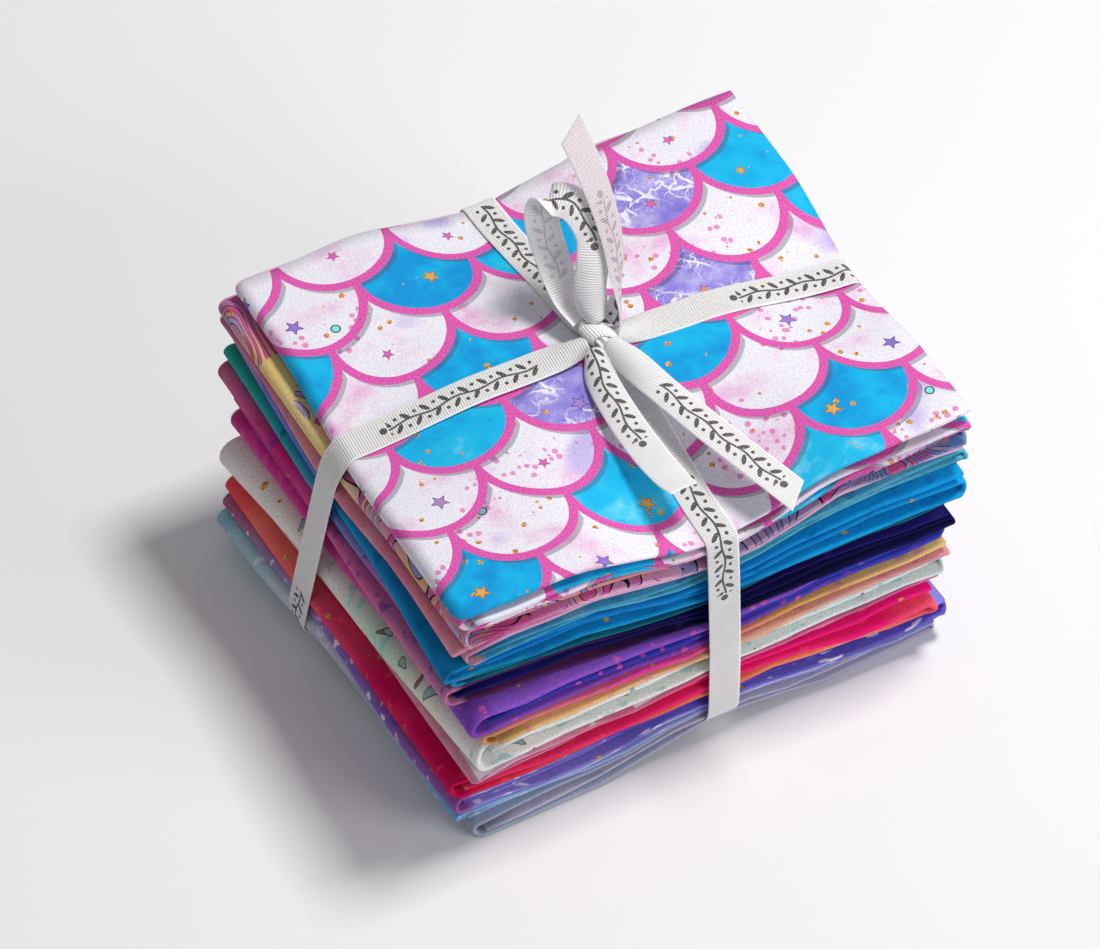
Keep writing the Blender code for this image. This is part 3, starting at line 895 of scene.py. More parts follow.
    def stars(self, sketch: ClothSketch, along: Wire, down: Wire, picks: Sequence[Wire], blue: Wire,
              colour: Wire) -> Wire:
        """One small star in about half of the scallops.

        Args:
            sketch: The graph.
            along: Offset along the scallop.
            down: Offset down the scallop.
            picks: Three random values of the scallop.
            blue: Whether the scallop is blue, where stars are gold.
            colour: What lies beneath.

        Returns:
            The colour with its stars.
        """
        first, second, third = picks
        x = along - (first - 0.5) * self.star_spread
        y = down - second * self.star_fall[1] - self.star_fall[0]
        small = third.above(0.62)
        size = small * 0.45 + 1.0
        x = x * size
        y = y * size
        shown = first.above(0.30)
        tints = [(0.0, "#8A70CC"), (0.45, "#9C80D4"), (0.62, "#D9A050"), (0.84, "#DE62B0")]
        tint = sketch.blend(blue, sketch.ramp(third, tints), "#E0A850")
        rim = sketch.blend(blue, "#54447A", "#8A5A24")
        outer = self.star(sketch, x, y, self.star_reach + self.star_rim, 1.2)
        colour = sketch.blend(outer * shown, colour, rim)
        return sketch.blend(self.star(sketch, x, y, self.star_reach, 1.2) * shown, colour, tint)

    def make(self) -> bpy.types.Material:
        """Draw the printed side.

        Returns:
            The material.
        """
        sketch = ClothSketch(self.name)
        u, v = sketch.u, sketch.v
        cos_t, sin_t = math.cos(self.turn), math.sin(self.turn)
        a = u / self.pitch + self.origin[0]
        y = (u * sin_t + v * cos_t) / self.pitch + self.origin[1]
        step = self.row / self.pitch
        upper = ((y - self.radius) / step).one("CEIL")
        along0, down0, distance0, count0 = self.disc(a, y, upper)
        lower = upper + 1.0
        along1, down1, distance1, count1 = self.disc(a, y, lower)
        outside = distance0.above(self.radius)
        along = sketch.choose(outside, along0, along1)
        down = sketch.choose(outside, down0, down1)
        distance = sketch.choose(outside, distance0, distance1)
        number = sketch.choose(outside, count0, count1)
        row = sketch.choose(outside, upper, lower)
        picks = tuple(sketch.chance(number, row, self.seed + 5.0 * k) for k in range(3))
        colour = self.white_fill(sketch, picks[2])
        blue = self.filled(sketch, row, number, Fill.BLUE)
        colour = sketch.blend(blue, colour, self.blue_fill(sketch, picks[1]))
        violet = self.filled(sketch, row, number, Fill.VIOLET)
        colour = sketch.blend(violet, colour, self.violet_fill(sketch))
        colour = self.dots(sketch, colour)
        colour = self.stars(sketch, along, down, picks, blue, colour)
        above_along, above_down, _, _ = self.disc(a, y, upper - 1.0)
        beside = self.shadow(along0, down0) * outside
        shade = sketch.math("MAXIMUM", beside, self.shadow(above_along, above_down))
        colour = sketch.blend(shade * 0.50, colour, "#4A4860")
        glitter = sketch.clouds(90.0, 2300.0, 0.0)
        pink = sketch.blend(glitter.ease(0.35, 0.65), "#D04AA0", "#E468B8")
        colour = sketch.blend(distance.above(self.radius - self.line), colour, pink)
        # threads with painted shade of #5A5070 in their hollows
        return sketch.cotton(colour, 0.17, "#5A5070", 0.45)


@dataclass(frozen=True)
class WrongSide:
    """The unprinted side of a cotton, where the print shows through palely."""

    name: str
    tint: str

    def make(self) -> bpy.types.Material:
        """Draw the unprinted side.

        Returns:
            The material.
        """
        sketch = ClothSketch(self.name)
        cloud = sketch.clouds(6.0, 60.0, 3.0)
        colour = sketch.blend(cloud.ease(0.3, 0.7) * 0.6, "#E6E0E8", self.tint)
        sketch.relief(sketch.threads(), 0.35, 0.0002)
        return sketch.finish(colour, 0.95, 0.12)


@dataclass(frozen=True)
class Grosgrain:
    """Off-white ribbed ribbon with a small dark sprig printed along its middle."""

    name: str
    print_share: float
    rib: float = 0.00082
    base: str = "#FBFAF8"
    ink: str = "#2B2629"
    repeat: float = 0.1147
    printed: float = 0.048
    leaf: float = 0.0031
    glow: float = 0.45
    # share of painted shade darkening the grooves between the ribs
    groove_shade_share: float = 0.28

    def sprig(self, sketch: ClothSketch) -> Wire:
        """A running stem with paired leaves and a bud, then a gap.

        Args:
            sketch: The graph.

        Returns:
            The inked share, nought or one.
        """
        u, v = sketch.u, sketch.v
        run = u / self.repeat
        within = (run - run.one("FLOOR")) * self.repeat
        printed = within.below(self.printed)
        line = (v - (within * 420.0).one("SINE") * 0.0005).one("ABSOLUTE").below(0.00034)
        leaf_run = within / self.leaf
        leaf_in = leaf_run - leaf_run.one("FLOOR") - 0.5
        side = (leaf_run * math.pi).one("SINE").one("SIGN")
        leaf_x = leaf_in * self.leaf
        leaf_y = v * side - 0.0017
        lean_x = leaf_x * 0.77 - leaf_y * 0.64
        lean_y = leaf_x * 0.64 + leaf_y * 0.77
        leaf = ((lean_x / 0.00072) * (lean_x / 0.00072) + (lean_y / 0.0018) * (lean_y / 0.0018)).below(1.0)
        berry_y = v * side + 0.0021
        berry = (leaf_x * leaf_x + berry_y * berry_y).one("SQRT").below(0.0006)
        bud_x = within - self.printed - 0.0016
        bud = (bud_x * bud_x + v * v).one("SQRT").below(0.0012)
        leaf = sketch.math("MAXIMUM", leaf, berry)
        return sketch.math("MAXIMUM", sketch.math("MAXIMUM", line, leaf) * printed, bud)

    def make(self) -> bpy.types.Material:
        """Draw one side of the ribbon.

        Returns:
            The material.
        """
        sketch = ClothSketch(self.name)
        u, v = sketch.u, sketch.v
        mottle = sketch.clouds(1.0, 90.0, 2.0)
        colour = sketch.blend(mottle.ease(0.3, 0.7) * 0.05, self.base, "#9A979C")
        fray = sketch.clouds(3.0, 1600.0, 1.0)
        worn = fray.ease(0.5, 0.8) * (-0.25 * self.print_share) + self.print_share
        ink = self.sprig(sketch) * worn
        colour = sketch.blend(ink, colour, self.ink)
        rib = (u * (2 * math.pi / self.rib)).one("SINE") * 0.5 + 0.5
        selvedge = v.one("ABSOLUTE").ease(0.0044, 0.0047)
        # painted shade: the grooves between the ribs, away from the selvedges, are darkened towards grey
        groove = rib.ease(0.55, 0.05) * (selvedge * -1.0 + 1.0)
        colour = sketch.blend(groove * self.groove_shade_share, colour, "#9A979C")
        height = sketch.math("MAXIMUM", rib, selvedge)
        sketch.relief(height, 0.8, 0.0003)
        sketch.shader.inputs["Subsurface Weight"].default_value = self.glow
        sketch.shader.inputs["Subsurface Scale"].default_value = 0.002
        sketch.shader.inputs["Subsurface Radius"].default_value = (1.0, 1.0, 1.0)
        return sketch.finish(colour, 0.6, 0.05)


@dataclass(frozen=True)
class PaperFloor:
    """The plain pale surface beneath."""

    name: str = "pale_floor"
    colour: str = "#F1F1F2"

    def make(self) -> bpy.types.Material:
        """Draw the floor with the faintest mottling.

        Returns:
            The material.
        """
        sketch = Sketch(self.name)
        node = sketch.tree.nodes.new("ShaderNodeTexCoord")
        where = Wire(sketch, node.outputs["Object"])
        cloud = sketch.noise(where, 3.0, 2.0)
        colour = sketch.blend(cloud.ease(0.3, 0.7), self.colour, "#EEEEF0")
        return sketch.finish(colour, 0.85, 0.0)


# ---------------------------------------------------------------- meshes
def grid_object(name: str, points: np.ndarray, cut: np.ndarray) -> bpy.types.Object:
    """A sheet of quads over a grid of points.

    Args:
        name: The object's name.
        points: Grid of points in metres, rows by columns by three.
        cut: The same grid's flat coordinates in metres, rows by columns by two.

    Returns:
        The object, linked to the scene and smooth.
    """
    rows, columns = points.shape[:2]
    index = np.arange(rows * columns).reshape(rows, columns)
    quads = np.stack([index[:-1, :-1], index[1:, :-1], index[1:, 1:], index[:-1, 1:]], axis=-1).reshape(-1, 4)
    mesh = bpy.data.meshes.new(name)
    mesh.from_pydata(points.reshape(-1, 3).tolist(), [], quads.tolist())
    layer = mesh.uv_layers.new(name=UV_NAME)
    flat = cut.reshape(-1, 2)[quads.reshape(-1)]
    layer.data.foreach_set("uv", flat.astype(np.float32).reshape(-1))
    mesh.polygons.foreach_set("use_smooth", [True] * len(mesh.polygons))
    item = bpy.data.objects.new(name, mesh)
    bpy.context.scene.collection.objects.link(item)
    return item


def activate(item: bpy.types.Object) -> None:
    """Select one object alone and make it the active one.

    Args:
        item: The object.
    """
    bpy.ops.object.select_all(action="DESELECT")
    item.select_set(True)
    bpy.context.view_layer.objects.active = item


def thicken(item: bpy.types.Object, thickness: float) -> None:
    """Give a sheet its thickness, inward from its printed side.

    Args:
        item: The sheet.
        thickness: Metres.
    """
    wall = item.modifiers.new("thickness", "SOLIDIFY")
    wall.thickness = thickness
    wall.offset = -1.0
    wall.material_offset = 1
    activate(item)
    bpy.ops.object.modifier_apply(modifier=wall.name)


def travel(points: np.ndarray) -> np.ndarray:
    """Distance travelled at each point of a route, from nought."""
    gaps = np.linalg.norm(np.diff(points, axis=0), axis=1)
    return np.concatenate([[0.0], np.cumsum(gaps)])


# ---------------------------------------------------------------- one folded fat quarter
@dataclass
class FatQuarter:
    """A fat quarter folded in quarters and then in three, at its place in the stack."""

    number: int
    name: str
    shape: StackShape
    finish: "CloudCotton | ScalePrint"
    wrong: WrongSide
    flat_steps: int = 13
    arc_steps: int = 10
    ply_steps: int = 12
    ply_gap: float = 0.16
    layer_most: float = 1.9
    layer_share: float = 0.235
    thickness: float = 0.24
    tuck: float = 1.2
    left_bend: float = 0.012          # shares of the cut width taken by half of each bend
    right_bend: float = 0.006
    ply_lengths: tuple[float, ...] = (140.0, 3.6, 140.0, 1.2, 140.0, 1.2, 140.0)
    outer_reach: float = 0.5          # in layer thicknesses behind the front fold
    inner_reach: float = 0.75
    bend_reach: float = 0.16
    front_step: float = 1.3
    front_ripples: tuple[tuple[float, float, float, float], ...] = (
        (0.45, 13.0, 3.1, 2.0),       # rise, run, and the phase a packet and a turn add
        (0.22, 4.3, 1.7, 3.3),
    )

    def heights(self, x: np.ndarray, y: np.ndarray) -> tuple[np.ndarray, np.ndarray]:
        """The packet's underside and its height above that.

        Args:
            x: Positions along the width.
            y: Positions along the depth.

        Returns:
            Levels of the underside, and heights of the packet.
        """
        last = self.number == len(self.shape.packets) - 1
        base = self.shape.level(self.number + 1, x, y) + (0.0 if last else self.ply_gap)
        if last:
            base = np.maximum(base, self.shape.groove(x, y))
        roof = self.shape.level(self.number, x, y) - (0.0 if self.number == 0 else self.ply_gap)
        return base, roof - base

    def layer(self, height: np.ndarray) -> tuple[np.ndarray, np.ndarray]:
        """Thickness of one four-ply layer, and the gap under the tucked layer.

        Args:
            height: The packet's height.

        Returns:
            The thickness and the gap.
        """
        thick = np.minimum(self.layer_share * height, self.layer_most)
        spare = height - 3 * thick
        return thick, spare * self.shape.packets[self.number].sag

    def fold_rows(self) -> tuple[np.ndarray, np.ndarray, np.ndarray]:
        """Stations along the letter fold.

        Returns:
            For each station its region, its place within the region from nought to one, and its
            share of the cut width.
        """
        flat = np.linspace(0.0, 1.0, self.flat_steps)
        arc = np.linspace(0.0, 1.0, self.arc_steps + 2)[1:-1]
        regions, places, shares = [], [], []
        third = 1.0 / 3.0
        left_start, left_end = third - self.left_bend, third + self.left_bend
        right_start, right_end = 2 * third - self.right_bend, 2 * third + self.right_bend
        bounds = (
            (Region.TOP, flat, 0.0, left_start),
            (Region.LEFT_FOLD, arc, left_start, left_end),
            (Region.BOTTOM, flat, left_end, right_start),
            (Region.RIGHT_FOLD, arc, right_start, right_end),
            (Region.TUCKED, flat, right_end, 1.0),
        )
        for region, steps, start, end in bounds:
            regions.append(np.full(len(steps), region))
            places.append(steps)
            shares.append(start + (end - start) * steps)
        return np.concatenate(regions), np.concatenate(places), np.concatenate(shares)

    def ply_rows(self) -> tuple[np.ndarray, np.ndarray, np.ndarray, np.ndarray]:
        """Stations across the four plies of the quarter fold.

        Returns:
            For each station its depth from front (0) to back (1), its reach behind the front fold in
            layer thicknesses, its height within the layer (1 outer, 0 inner) and its share of the cut length.
        """
        run = np.linspace(0.0, 1.0, self.ply_steps)
        turn = np.linspace(0.0, 1.0, 9)[1:-1] * math.pi
        small = np.linspace(0.0, 1.0, 5)[1:-1] * math.pi
        depth = [1 - run, np.zeros(7), run, np.ones(3), 1 - run, np.zeros(3), run]
        outer, inner, bend = self.outer_reach, self.inner_reach, self.bend_reach
        reach = [outer * (run ** 6), outer - outer * np.sin(turn), outer * ((1 - run) ** 6),
                 -bend * np.sin(small), inner * (run ** 6), inner - bend * np.sin(small),
                 inner * ((1 - run) ** 6)]
        height = [np.ones(self.ply_steps), 0.5 + 0.5 * np.cos(turn), np.zeros(self.ply_steps),
                  (1 - np.cos(small)) / 6, np.full(self.ply_steps, 1 / 3), 0.5 - np.cos(small) / 6,
                  np.full(self.ply_steps, 2 / 3)]
        ends = np.concatenate([[0.0], np.cumsum(self.ply_lengths)]) / sum(self.ply_lengths)
        share = [np.linspace(ends[k], ends[k + 1], len(piece) + (k % 2) * 2)[(k % 2):len(piece) + (k % 2)]
                 for k, piece in enumerate(depth)]
        return np.concatenate(depth), np.concatenate(reach), np.concatenate(height), np.concatenate(share)

    def surface(self) -> tuple[np.ndarray, np.ndarray]:
        """The folded cloth as a grid.

        Returns:
            Points in millimetres, and flat coordinates in metres.
        """
        shape = self.shape
        region, place, share_u = (array[:, None] for array in self.fold_rows())
        depth, reach, offset, share_v = (array[None, :] for array in self.ply_rows())
        depth = depth + np.zeros_like(place)
        y0 = -shape.depth / 2 + shape.depth * depth
        left = shape.side_x(self.number, Edge.LEFT, y0)
        right = shape.side_x(self.number, Edge.RIGHT, y0)
        height_l = self.heights(left + 3.0, y0)[1]
        height_r = self.heights(right - 3.0, y0)[1]
        thick_l = self.layer(height_l)[0]
        thick_r, gap_r = self.layer(height_r)
        wobble = 0.5 * np.sin(y0 / 17.0 + 2.1 * self.number)
        start_l = left + height_l * 0.5 + wobble
        round_r = thick_r + gap_r * 0.5
        start_r = right - round_r
        free = right - shape.packets[self.number].lap + 0.6 * np.sin(y0 / 23.0 + self.number)
        angle_l = math.pi / 2 + math.pi * place
        angle_r = -math.pi / 2 + math.pi * place
        radius_l = height_l * 0.5 - thick_l * (1 - offset)
        radius_r = round_r - thick_r * (1 - offset)
        parts = [region == part for part in (Region.TOP, Region.LEFT_FOLD, Region.BOTTOM, Region.RIGHT_FOLD)]
        x = np.select(
            parts,
            [free + (start_l - free) * place, start_l + radius_l * np.cos(angle_l),
             start_l + (start_r - start_l) * place, start_r + radius_r * np.cos(angle_r)],
            start_r + (start_l + self.tuck - start_r) * place)
        turned = np.select(parts, [0.0, place, 1.0, 1 + place], 2.0)
        base, height = self.heights(x, y0)
        thick = self.layer(height)[0]
        calm = 1.0 if self.number else 0.4
        step = self.front_step * np.sin(2.3 * self.number + 2.6 * turned + 0.4) * calm
        for rise, run, per_packet, per_turn in self.front_ripples:
            step = step + rise * np.sin(x / run + per_packet * self.number + per_turn * turned)
        front = shape.end_y(self.number, Edge.FRONT, x) + step
        ruffle = 0.5 * np.sin(x / 9.0 + 4.0 * share_v + self.number)
        back = shape.end_y(self.number, Edge.BACK, x) - 0.6 + ruffle
        y = front + (back - front) * depth + thick * reach
        base, height = self.heights(x, y)
        thick, gap = self.layer(height)
        off_middle = np.clip(np.abs(x) / 20.0, 0.0, 1.0)
        gap = gap * (1.0 + 0.55 * np.sin(x / 16.0 + 2.4 * self.number) * off_middle)
        inset = thick * (1 - offset)
        middle_l, middle_r = height * 0.5, thick + gap * 0.5
        rise = np.select(
            parts,
            [height - inset, middle_l + (middle_l - inset) * np.sin(angle_l),
             inset, middle_r + (middle_r - inset) * np.sin(angle_r)],
            thick + gap + thick * offset)
        z = base + rise
        points = np.stack([x, y, z], axis=-1)
        cut = np.stack([share_u * CUT_WIDTH + 0 * x, share_v * CUT_LENGTH + 0 * x], axis=-1)
        return points, cut

    def relax_top(self, points: np.ndarray) -> np.ndarray:
        """Soft creases on the top packet's upper cloth, and its dip under the ribbons.

        Args:
            points: The folded cloth.

        Returns:
            The points with their undulations.
        """
        x, y, z = points[..., 0], points[..., 1], points[..., 2]
        crest = np.clip((z - (self.shape.level(0, x, y) - 3.0)) / 3.0, 0.0, 1.0)
        swell = 0.5 * np.sin(x / 21.0 + 0.6) * np.cos(y / 26.0 - 0.4) + 0.25 * np.sin((x + y) / 12.0)
        dent = (np.exp(-np.square((y - self.shape.band_y(x, self.shape.top_y)) / 7.0))
                + np.exp(-np.square((x - self.shape.band_x(y, self.shape.top_x)) / 7.0)))
        lifted = z + crest * (swell - 0.7 * dent)
        return np.stack([x, y, lifted], axis=-1)

    def build(self) -> bpy.types.Object:
        """Make the folded cloth with its thickness and finish.

        Returns:
            The piece.
        """
        points, cut = self.surface()
        if self.number == 0:
            points = self.relax_top(points)
        item = grid_object(self.name + "_cloth", self.shape.place(points), cut)
        item.data.materials.append(self.finish.make())
        item.data.materials.append(self.wrong.make())
        thicken(item, self.thickness * MM)
        return item

    def dress(self, item: bpy.types.Object) -> None:
        """Attach the piece to the frame's root and hide the model part it stands for.

        Args:
            item: The piece.
        """
        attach(item, "root")
        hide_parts("fat_quarter_" + self.name)
        lowest = self.number == len(self.shape.packets) - 1


# ---------------------------------------------------------------- ribbon
@dataclass(frozen=True)
class Station:
    """A place on a ribbon's route, in millimetres of the stack."""

    x: float
    y: float
    z: float
    across: tuple[float, float, float]
    cup: float = 0.0


@dataclass
class Ribbon:
    """A length of ribbon along a smooth route, cupped where it gathers into the knot."""

    name: str
    node: str
    shape: StackShape
    stations: Sequence[Station]
    held: Held
    rests_on: Sequence[str]
    printed: bpy.types.Material
    reverse: bpy.types.Material
    width: float = 10.3
    thickness: float = 0.34
    columns: int = 13
    spacing: float = 0.9
    slant: float = 0.0
    slant_run: float = 12.0
    print_start: float = 0.0
    smooth: bool = True

    def route(self) -> tuple[np.ndarray, np.ndarray, np.ndarray]:
        """The route sampled evenly.

        Returns:
            Points, directions across and cup angles in degrees.
        """
        points = np.array([(s.x, s.y, s.z) for s in self.stations])
        across = np.array([s.across for s in self.stations])
        cups = np.array([s.cup for s in self.stations])
        if self.smooth:
            points, across, cups = self.curve(points, across, cups)
        travelled = travel(points)
        count = max(8, round(travelled[-1] / self.spacing))
        marks = np.linspace(0.0, travelled[-1], count + 1)
        even = [np.interp(marks, travelled, points[:, k]) for k in range(3)]
        sides = [np.interp(marks, travelled, across[:, k]) for k in range(3)]
        return np.stack(even, axis=1), np.stack(sides, axis=1), np.interp(marks, travelled, cups)

    @staticmethod
    def curve(points: np.ndarray, across: np.ndarray,
              cups: np.ndarray) -> tuple[np.ndarray, np.ndarray, np.ndarray]:
        """A smooth curve through the stations.

        Args:
            points: Station points.
            across: Station directions across.
            cups: Station cup angles.

        Returns:
            Denser points, directions and angles.
        """
        table = np.column_stack([points, across, cups])
        padded = np.vstack([2 * table[0] - table[1], table, 2 * table[-1] - table[-2]])
        dense = []
        for index in range(1, len(padded) - 2):
            p0, p1, p2, p3 = padded[index - 1:index + 3]
            for t in np.linspace(0.0, 1.0, 12, endpoint=False):
                dense.append(0.5 * (2 * p1 + (p2 - p0) * t + (2 * p0 - 5 * p1 + 4 * p2 - p3) * t * t
                                    + (3 * p1 - p0 - 3 * p2 + p3) * t ** 3))
        dense.append(padded[-2])
        dense = np.array(dense)
        return dense[:, :3], dense[:, 3:6], dense[:, 6]

    def surface(self) -> tuple[np.ndarray, np.ndarray, float]:
        """The ribbon's printed face as a grid.

        Returns:
            Points in millimetres, flat coordinates in metres, and the length in millimetres.
        """
        points, across, cups = self.route()
        tangent = np.gradient(points, axis=0)
        tangent /= np.linalg.norm(tangent, axis=1, keepdims=True)
        side = across - tangent * np.sum(across * tangent, axis=1, keepdims=True)
        side /= np.linalg.norm(side, axis=1, keepdims=True)
        normal = np.cross(tangent, side)
        travelled = travel(points)
        q = np.linspace(-1.0, 1.0, self.columns)[None, :]
        half = np.radians(np.abs(cups))[:, None] / 2 + 1e-4
        radius = (self.width / 2) / half
        off_side = radius * np.sin(half * q)
        off_normal = radius * (np.cos(half * q) - np.cos(half) * 0.5 - 0.5) * np.sign(cups + 1e-9)[:, None]
        cut = np.zeros_like(off_side)
        if self.slant:
            weight = np.clip((travelled - travelled[-1] + self.slant_run) / self.slant_run, 0.0, 1.0)[:, None]
            cut = self.slant / 2 * q * weight
        grid = (points[:, None, :] + side[:, None, :] * off_side[..., None]
                + normal[:, None, :] * off_normal[..., None] + tangent[:, None, :] * cut[..., None])
        along = (travelled[:, None] + cut + self.print_start) * MM + 0 * q
        flat = np.stack([along, q * self.width / 2 * MM + 0 * along], axis=-1)
        return grid, flat, float(travelled[-1])

    def build(self) -> bpy.types.Object:
        """Make the ribbon with its thickness and its two faces.

        Returns:
            The piece.
        """
        grid, flat, length = self.surface()
        item = grid_object(self.name, self.shape.place(grid), flat)
        item.data.materials.append(self.printed)
        item.data.materials.append(self.reverse)
        thicken(item, self.thickness * MM)
        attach(item, "root")
        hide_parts(self.node)
        self.width * MM
        length * MM
        LOG.info("%s is %.0f mm long", self.name, length)
        return item


@dataclass
class BandRoute:
    """Works out where a tied ribbon runs: out from the knot, down a side, beneath and back up."""

    shape: StackShape
    knot: tuple[float, float, float]
    clear: float = 0.35
    side_clear: float = 0.5
    width: float = 10.3
    knot_reach: float = 4.0
    front_clear: float = 1.2          # the uneven front edges stand out by this much
    inset_share: float = 0.3          # of a packet's height, rounded off at its edge
    top_inset: float = 1.6
    rise: float = 2.2
    rise_run: float = 22.0
    top_steps: int = 22
    under_inset: float = 7.0
    under_steps: int = 12
    under_heights: tuple[float, float] = (0.75, 0.36)
    gather: float = 210.0             # degrees of cup at the knot
    gather_run: float = 16.0

    def edge_reach(self, number: int, edge: Edge, along: float) -> float:
        """How far out a packet stands at a place along an edge.

        Args:
            number: Which packet, from the top.
            edge: The edge.
            along: The place along it.

        Returns:
            The reach from the stack's middle.
        """
        spots = np.array([along - self.width / 2, along, along + self.width / 2])
        if edge in (Edge.LEFT, Edge.RIGHT):
            return float(np.max(np.abs(self.shape.side_x(number, edge, spots))))
        return float(np.max(np.abs(self.shape.end_y(number, edge, spots)))) + self.front_clear

    @staticmethod
    def outward(edge: Edge, reach: float, along: float) -> tuple[float, float]:
        """Plan position a given way out over an edge."""
        return {Edge.LEFT: (-reach, along), Edge.RIGHT: (reach, along),
                Edge.FRONT: (along, -reach), Edge.BACK: (along, reach)}[edge]

    def ends(self, edge: Edge) -> tuple[float, float]:
        """Where the ribbon crosses the top and the bottom of an edge.

        Args:
            edge: The edge.

        Returns:
            The place along the edge at the top and at the bottom.
        """
        shape = self.shape
        side = 0 if edge in (Edge.LEFT, Edge.FRONT) else 1
        if edge in (Edge.LEFT, Edge.RIGHT):
            return shape.top_y[side], shape.bottom_y[side]
        return shape.top_x[side], shape.bottom_x[side]

    def height_at(self, count: int, x: float, y: float) -> float:
        """Height of a surface at one point."""
        return float(self.shape.level(count, np.array([x]), np.array([y]))[0])

    def down_side(self, edge: Edge) -> list[tuple[float, float, float]]:
        """Points down one side of the stack, touching only the packets that stand out most.

        Args:
            edge: The side.

        Returns:
            The points from top to bottom.
        """
        upper, lower = self.ends(edge)
        total = len(self.shape.packets)
        profile = []
        for number in range(total):
            along = upper + (lower - upper) * (number + 0.5) / total
            reach = self.edge_reach(number, edge, along)
            x, y = self.outward(edge, reach, along)
            top, bottom = self.height_at(number, x, y), self.height_at(number + 1, x, y)
            inset = self.inset_share * (top - bottom)
            profile += [(top - inset, reach + self.side_clear), (bottom + inset, reach + self.side_clear)]
        hull: list[tuple[float, float]] = []
        for point in sorted(profile, reverse=True):
            while len(hull) >= 2:
                (h0, o0), (h1, o1) = hull[-2], hull[-1]
                if (h1 - h0) * (point[1] - o0) - (o1 - o0) * (point[0] - h0) > 0.0:
                    break
                hull.pop()
            hull.append(point)
        high, low = hull[0][0], hull[-1][0]
        placed = []
        for height, reach in hull:
            along = upper + (lower - upper) * (high - height) / (high - low)
            placed.append(self.outward(edge, reach, along) + (height,))
        return placed

    def over_top(self, edge: Edge) -> list[tuple[float, float, float]]:
        """Points over the top cloth, from the knot out to an edge.

        Args:
            edge: The edge.

        Returns:
            The points, from the knot outwards.
        """
        along = self.ends(edge)[0]
        reach = self.edge_reach(0, edge, along) - self.top_inset
        end_x, end_y = self.outward(edge, reach, along)
        run = math.hypot(end_x - self.knot[0], end_y - self.knot[1])
        points = []
        for distance in np.linspace(self.knot_reach, run, self.top_steps):
            share = distance / run
            x = self.knot[0] + (end_x - self.knot[0]) * share
            y = self.knot[1] + (end_y - self.knot[1]) * share
            rise = self.rise * max(0.0, 1.0 - (distance - self.knot_reach) / self.rise_run) ** 2
            points.append((x, y, self.height_at(0, x, y) + self.clear + rise))
        return points

    def beneath(self, across: bool) -> list[tuple[float, float, float]]:
        """Points under the stack.

        Args:
            across: True for the crosswise ribbon.

        Returns:
            The points from left to right, or from front to back.
        """
        last = len(self.shape.packets) - 1
        edges = (Edge.LEFT, Edge.RIGHT) if across else (Edge.FRONT, Edge.BACK)
        reach = [self.edge_reach(last, edge, self.ends(edge)[1]) - self.under_inset for edge in edges]
        points = []
        for value in np.linspace(-reach[0], reach[1], self.under_steps):
            if across:
                y = float(self.shape.band_y(value, self.shape.bottom_y))
                points.append((value, y, self.under_heights[0]))
            else:
                x = float(self.shape.band_x(value, self.shape.bottom_x))
                points.append((x, value, self.under_heights[1]))
        return points

    def stations(self, across: bool) -> list[Station]:
        """The whole route of one tied ribbon.

        Args:
            across: True for the crosswise ribbon.

        Returns:
            Its stations from knot to knot.
        """
        first, second = (Edge.LEFT, Edge.RIGHT) if across else (Edge.FRONT, Edge.BACK)
        points = (self.over_top(first) + self.down_side(first) + self.beneath(across)
                  + self.down_side(second)[::-1] + self.over_top(second)[::-1])
        rounded = self.round_corners(np.array(points))
        side = (0.0, -1.0, 0.0) if across else (1.0, 0.0, 0.0)
        marks = travel(rounded)
        stations = []
        for point, travelled in zip(rounded, marks):
            nearest = min(travelled, marks[-1] - travelled)
            cup = self.gather * max(0.0, 1.0 - nearest / self.gather_run) ** 1.5
            stations.append(Station(point[0], point[1], point[2], side, cup))
        return stations

    @staticmethod
    def round_corners(points: np.ndarray) -> np.ndarray:
        """Soften the turns by cutting each corner three times.

        Args:
            points: The angular route.

        Returns:
            The rounded route.
        """
        for _ in range(3):
            first = points[:-1] * 0.75 + points[1:] * 0.25
            second = points[:-1] * 0.25 + points[1:] * 0.75
            middle = np.stack([first, second], axis=1).reshape(-1, 3)
            points = np.vstack([points[:1], middle, points[-1:]])
        return points


